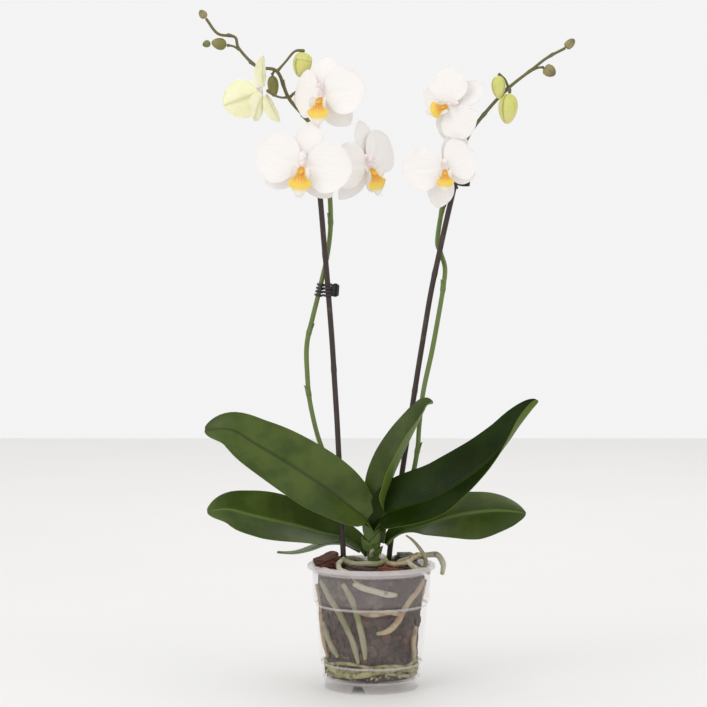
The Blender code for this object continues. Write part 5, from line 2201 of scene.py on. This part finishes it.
FLOWERS = (
    Flower(
        "flower_a", Stand(mm(-47, -12, 561), -18, -2, 2, 0.97),
        three_sepals(dorsal=(2, -15), right=(140, -18), left=(262, -22), half_width=14.0),
        two_petals(left=(-88, -8, 27), right=(79, -4, 40)),
    ),
    Flower(
        "flower_b", Stand(mm(-65, -22, 495), -4, -2, 18, 1.03),
        three_sepals(dorsal=(-4, -6), right=(122, -12), left=(226, -12), length=37.0),
        two_petals(left=(-92, 4, 41), right=(80, 4, 43)), lip_lean=13.0,
    ),
    Flower(
        "flower_c", Stand(mm(-3, 6, 495), 36, -8, -18, 0.95),
        three_sepals(dorsal=(7, -6), right=(150, -24), left=(222, -22), length=41.0, half_width=11.5),
        two_petals(left=(-74, -12, 38), right=(66, -10, 39)),
    ),
    Flower(
        "flower_d", Stand(mm(-104, -8, 564), -115, -14, 0, 1.08),
        three_sepals(dorsal=(0, -8), right=(148, 20), left=(208, 2), length=27.0, half_width=10.5),
        two_petals(left=(-90, 44, 27), right=(106, 50, 33), half_width=16.5, bend=2.0), 0.5, skin=YOUNG_PETAL,
    ),
    Flower(
        "flower_e", Stand(mm(75, -10, 551), -26, -6, 74, 0.88),
        three_sepals(dorsal=(-16, -10), right=(128, -14), left=(216, -12), length=38.0),
        two_petals(left=(-76, 2, 38), right=(78, 2, 36), half_width=21.5), 0.84,
    ),
    Flower(
        "flower_f", Stand(mm(69, -14, 492), 2, -2, 0, 0.96),
        three_sepals(dorsal=(30, -18), right=(100, -34), left=(188, -14), length=38.0),
        two_petals(left=(-94, 0, 39), right=(62, -4, 30), half_width=21.0), 0.80,
    ),
)


# ---------------------------------------------------------------- clips


def crossing(route: Sequence[Vector], height: float) -> tuple[Vector, Vector]:
    """Where a route passes a height, and its direction there.

    Args:
        route: the route's own points.
        height: the height, in metres.

    Returns:
        The place and the direction.
    """
    points = smooth(route, 8)
    for low, high in zip(points, points[1:]):
        if low.z <= height < high.z:
            share = (height - low.z) / (high.z - low.z)
            return low.lerp(high, share), (high - low).normalized()
    raise ValueError(f"the route never passes {height}")


@dataclass
class Clip:
    """A sprung clip: bands round the cane and the spike, a bridge, and finger wings with ribs."""

    name: str
    height: float
    level: float
    cane: str
    spike: int
    wing_at: Vector
    wing_size: Vector
    wing_turns: tuple[float, float, float]
    bands: int = 3
    wall: float = 0.0012
    play: float = 0.0003

    def build(self, stakes: Stakes) -> None:
        """Makes the clip as one moulding.

        Args:
            stakes: the canes.
        """
        surface = Surface(f"{self.name}_moulding")
        at, along = crossing(stakes.routes[self.cane], self.level)
        spike = SPIKES[self.spike]
        spike_at, spike_along = crossing(spike.route, self.level)
        tall = self.height / self.bands * 0.72
        for index in range(self.bands):
            shift = ((index + 0.5) / self.bands - 0.5) * self.height
            middle, spike_middle = at + along * shift, spike_at + spike_along * shift
            self.band(surface, middle, along, stakes.radius + self.play, tall)
            self.band(surface, spike_middle, spike_along, spike.radius + self.play, tall * 0.9)
            self.bar(surface, middle, spike_middle, tall * 0.5)
        self.wing(surface)
        surface.made(ClipFinish(), "clip", [self.name], 40.0)

    def band(self, surface: Surface, centre: Vector, along: Vector, inner: float, tall: float) -> None:
        """A ring with rounded edges.

        Args:
            surface: the mesh that it joins.
            centre: its middle.
            along: its axis.
            inner: its inner radius.
            tall: its height.
        """
        turn = along.to_track_quat("Z", "Y").to_matrix()
        section = rounded(((inner, -tall / 2), (inner + self.wall, -tall / 2), (inner + self.wall, tall / 2),
                           (inner, tall / 2)), 0.0004)
        rings = []
        for k in range(32):
            angle = math.tau * k / 32
            rings.append([
                surface.point(centre + turn @ Vector((math.cos(angle) * radius, math.sin(angle) * radius, z)))
                for radius, z in section
            ])
        loops = [[ring[i] for ring in rings] for i in range(len(section))]
        surface.grid([*loops, loops[0]], closed=True)

    def bar(self, surface: Surface, start: Vector, end: Vector, radius: float) -> None:
        """A short flat bar between two bands."""
        surface.tube(even([start.lerp(end, 0.32), start.lerp(end, 0.68)], 5),
                     lambda share, angle: radius * 0.9, 12, lambda share: 0.45, UP)

    def wing(self, surface: Surface) -> None:
        """A bowed finger plate with a turned-up end and three ribs.

        Args:
            surface: the mesh that it joins.
        """
        matrix = turned_by(self.wing_at, self.wing_turns)
        wide, deep, tall = self.wing_size
        grid = []
        for i in range(13):
            share = i / 12
            row = []
            for j in range(17):
                across = 2 * j / 16 - 1
                bow = deep * 0.9 * (1.0 - across * across) + deep * 0.9 * ease(0.55, 1.0, across)
                half = tall / 2 * (1.0 - 0.25 * across * across)
                row.append(matrix @ Vector((across * wide / 2, bow - deep / 2, (share - 0.5) * 2 * half)))
            grid.append(row)
        surface.shell(grid, lambda share, across: self.wall)
        for level in (-0.32, 0.0, 0.32):
            route = [matrix @ Vector((x * wide / 2, deep * (0.9 * (1 - x * x)) - deep / 2 - self.wall * 0.6,
                                      level * tall)) for x in (-0.8, -0.4, 0.0, 0.4, 0.8)]
            surface.tube(even(smooth(route, 4), 16), lambda share, angle: self.wall * 0.42, 10)


CLIPS = (
    Clip("clip_left", 0.0135, 0.376, "stake_left", 0, mm(-34.8, 9, 376), mm(7.5, 2.2, 13), (0, 4, -28), 4),
    Clip("clip_right", 0.0070, 0.4765, "stake_right", 1, mm(88, 21, 479), mm(14, 2.2, 7), (0, 6, 6), 2),
)


# ---------------------------------------------------------------- studio


@dataclass
class Studio:
    """A pale floor, soft lights and the camera."""

    floor_size: float = 6.0
    daylight: float = 0.90
    eye: Vector = field(default_factory=lambda: Vector((-0.017, -2.1, 0.40)))
    lens: float = 112.53
    sensor: float = 36.0
    drop: float = -0.1252
    # Lights: name, place, size, power and what they point at
    lights: tuple[tuple[str, Vector, float, float, Vector], ...] = (
        ("key", Vector((-1.3, -1.5, 1.7)), 1.2, 10.0, Vector((0, 0, 0.35))),
        ("fill", Vector((1.6, -1.3, 1.1)), 1.4, 2.5, Vector((0, 0, 0.30))),
        ("back", Vector((0.3, 1.6, 1.9)), 1.4, 5.0, Vector((0, 0, 0.40))),
    )

    def build(self) -> None:
        """Sets up everything round the plant."""
        self.floor()
        self.world()
        for name, place, size, power, target in self.lights:
            self.light(name, place, size, power, target)
        self.camera()
        bpy.context.scene.view_settings.view_transform = "Standard"

    def floor(self) -> None:
        """The floor that the pot stands on."""
        bm = bmesh.new()
        bmesh.ops.create_grid(bm, x_segments=8, y_segments=8, size=self.floor_size / 2)
        mesh = bpy.data.meshes.new("floor")
        bm.to_mesh(mesh)
        bm.free()
        floor = bpy.data.objects.new("floor", mesh)
        mesh.materials.append(FloorFinish().material())
        bpy.context.scene.collection.objects.link(floor)

    def world(self) -> None:
        """Even, nearly white light from all round."""
        world = bpy.data.worlds.new("studio")
        world.use_nodes = True
        background = world.node_tree.nodes["Background"]
        background.inputs["Color"].default_value = (1.0, 1.0, 1.0, 1.0)
        background.inputs["Strength"].default_value = self.daylight
        bpy.context.scene.world = world

    def light(self, name: str, place: Vector, size: float, power: float, target: Vector) -> None:
        """One large soft lamp.

        Args:
            name: its name.
            place: where it hangs.
            size: its side.
            power: its power, in watts.
            target: what it points at.
        """
        data = bpy.data.lights.new(name, "AREA")
        data.energy = power
        data.size = size
        lamp = bpy.data.objects.new(name, data)
        lamp.location = place
        lamp.rotation_euler = (target - place).to_track_quat("-Z", "Y").to_euler()
        bpy.context.scene.collection.objects.link(lamp)

    def camera(self) -> None:
        """A long lens, level with the middle of the plant."""
        data = bpy.data.cameras.new("camera")
        data.lens = self.lens
        data.sensor_width = self.sensor
        data.shift_y = self.drop
        data.clip_end = 20.0
        camera = bpy.data.objects.new("camera", data)
        camera.location = self.eye
        camera.rotation_euler = (math.radians(90.0), 0.0, 0.0)
        bpy.context.scene.collection.objects.link(camera)
        bpy.context.scene.camera = camera


def main() -> None:
    """Builds the plant from the pot upwards, then the studio round it."""
    logging.basicConfig(level=logging.INFO, format="%(name)s: %(message)s")
    pot = GrowPot()
    pot.build()
    GrowingMix(pot).build()
    TopBark().build()
    Roots(pot).build()
    stakes = Stakes()
    stakes.build()
    Crown().build()
    for leaf in LEAVES:
        leaf.build()
    for spike in SPIKES:
        spike.build()
    for bud in BUDS:
        bud.build()
    for flower in FLOWERS:
        flower.build()
    for clip in CLIPS:
        clip.build(stakes)
    Studio().build()


if __name__ == "__main__":
    main()
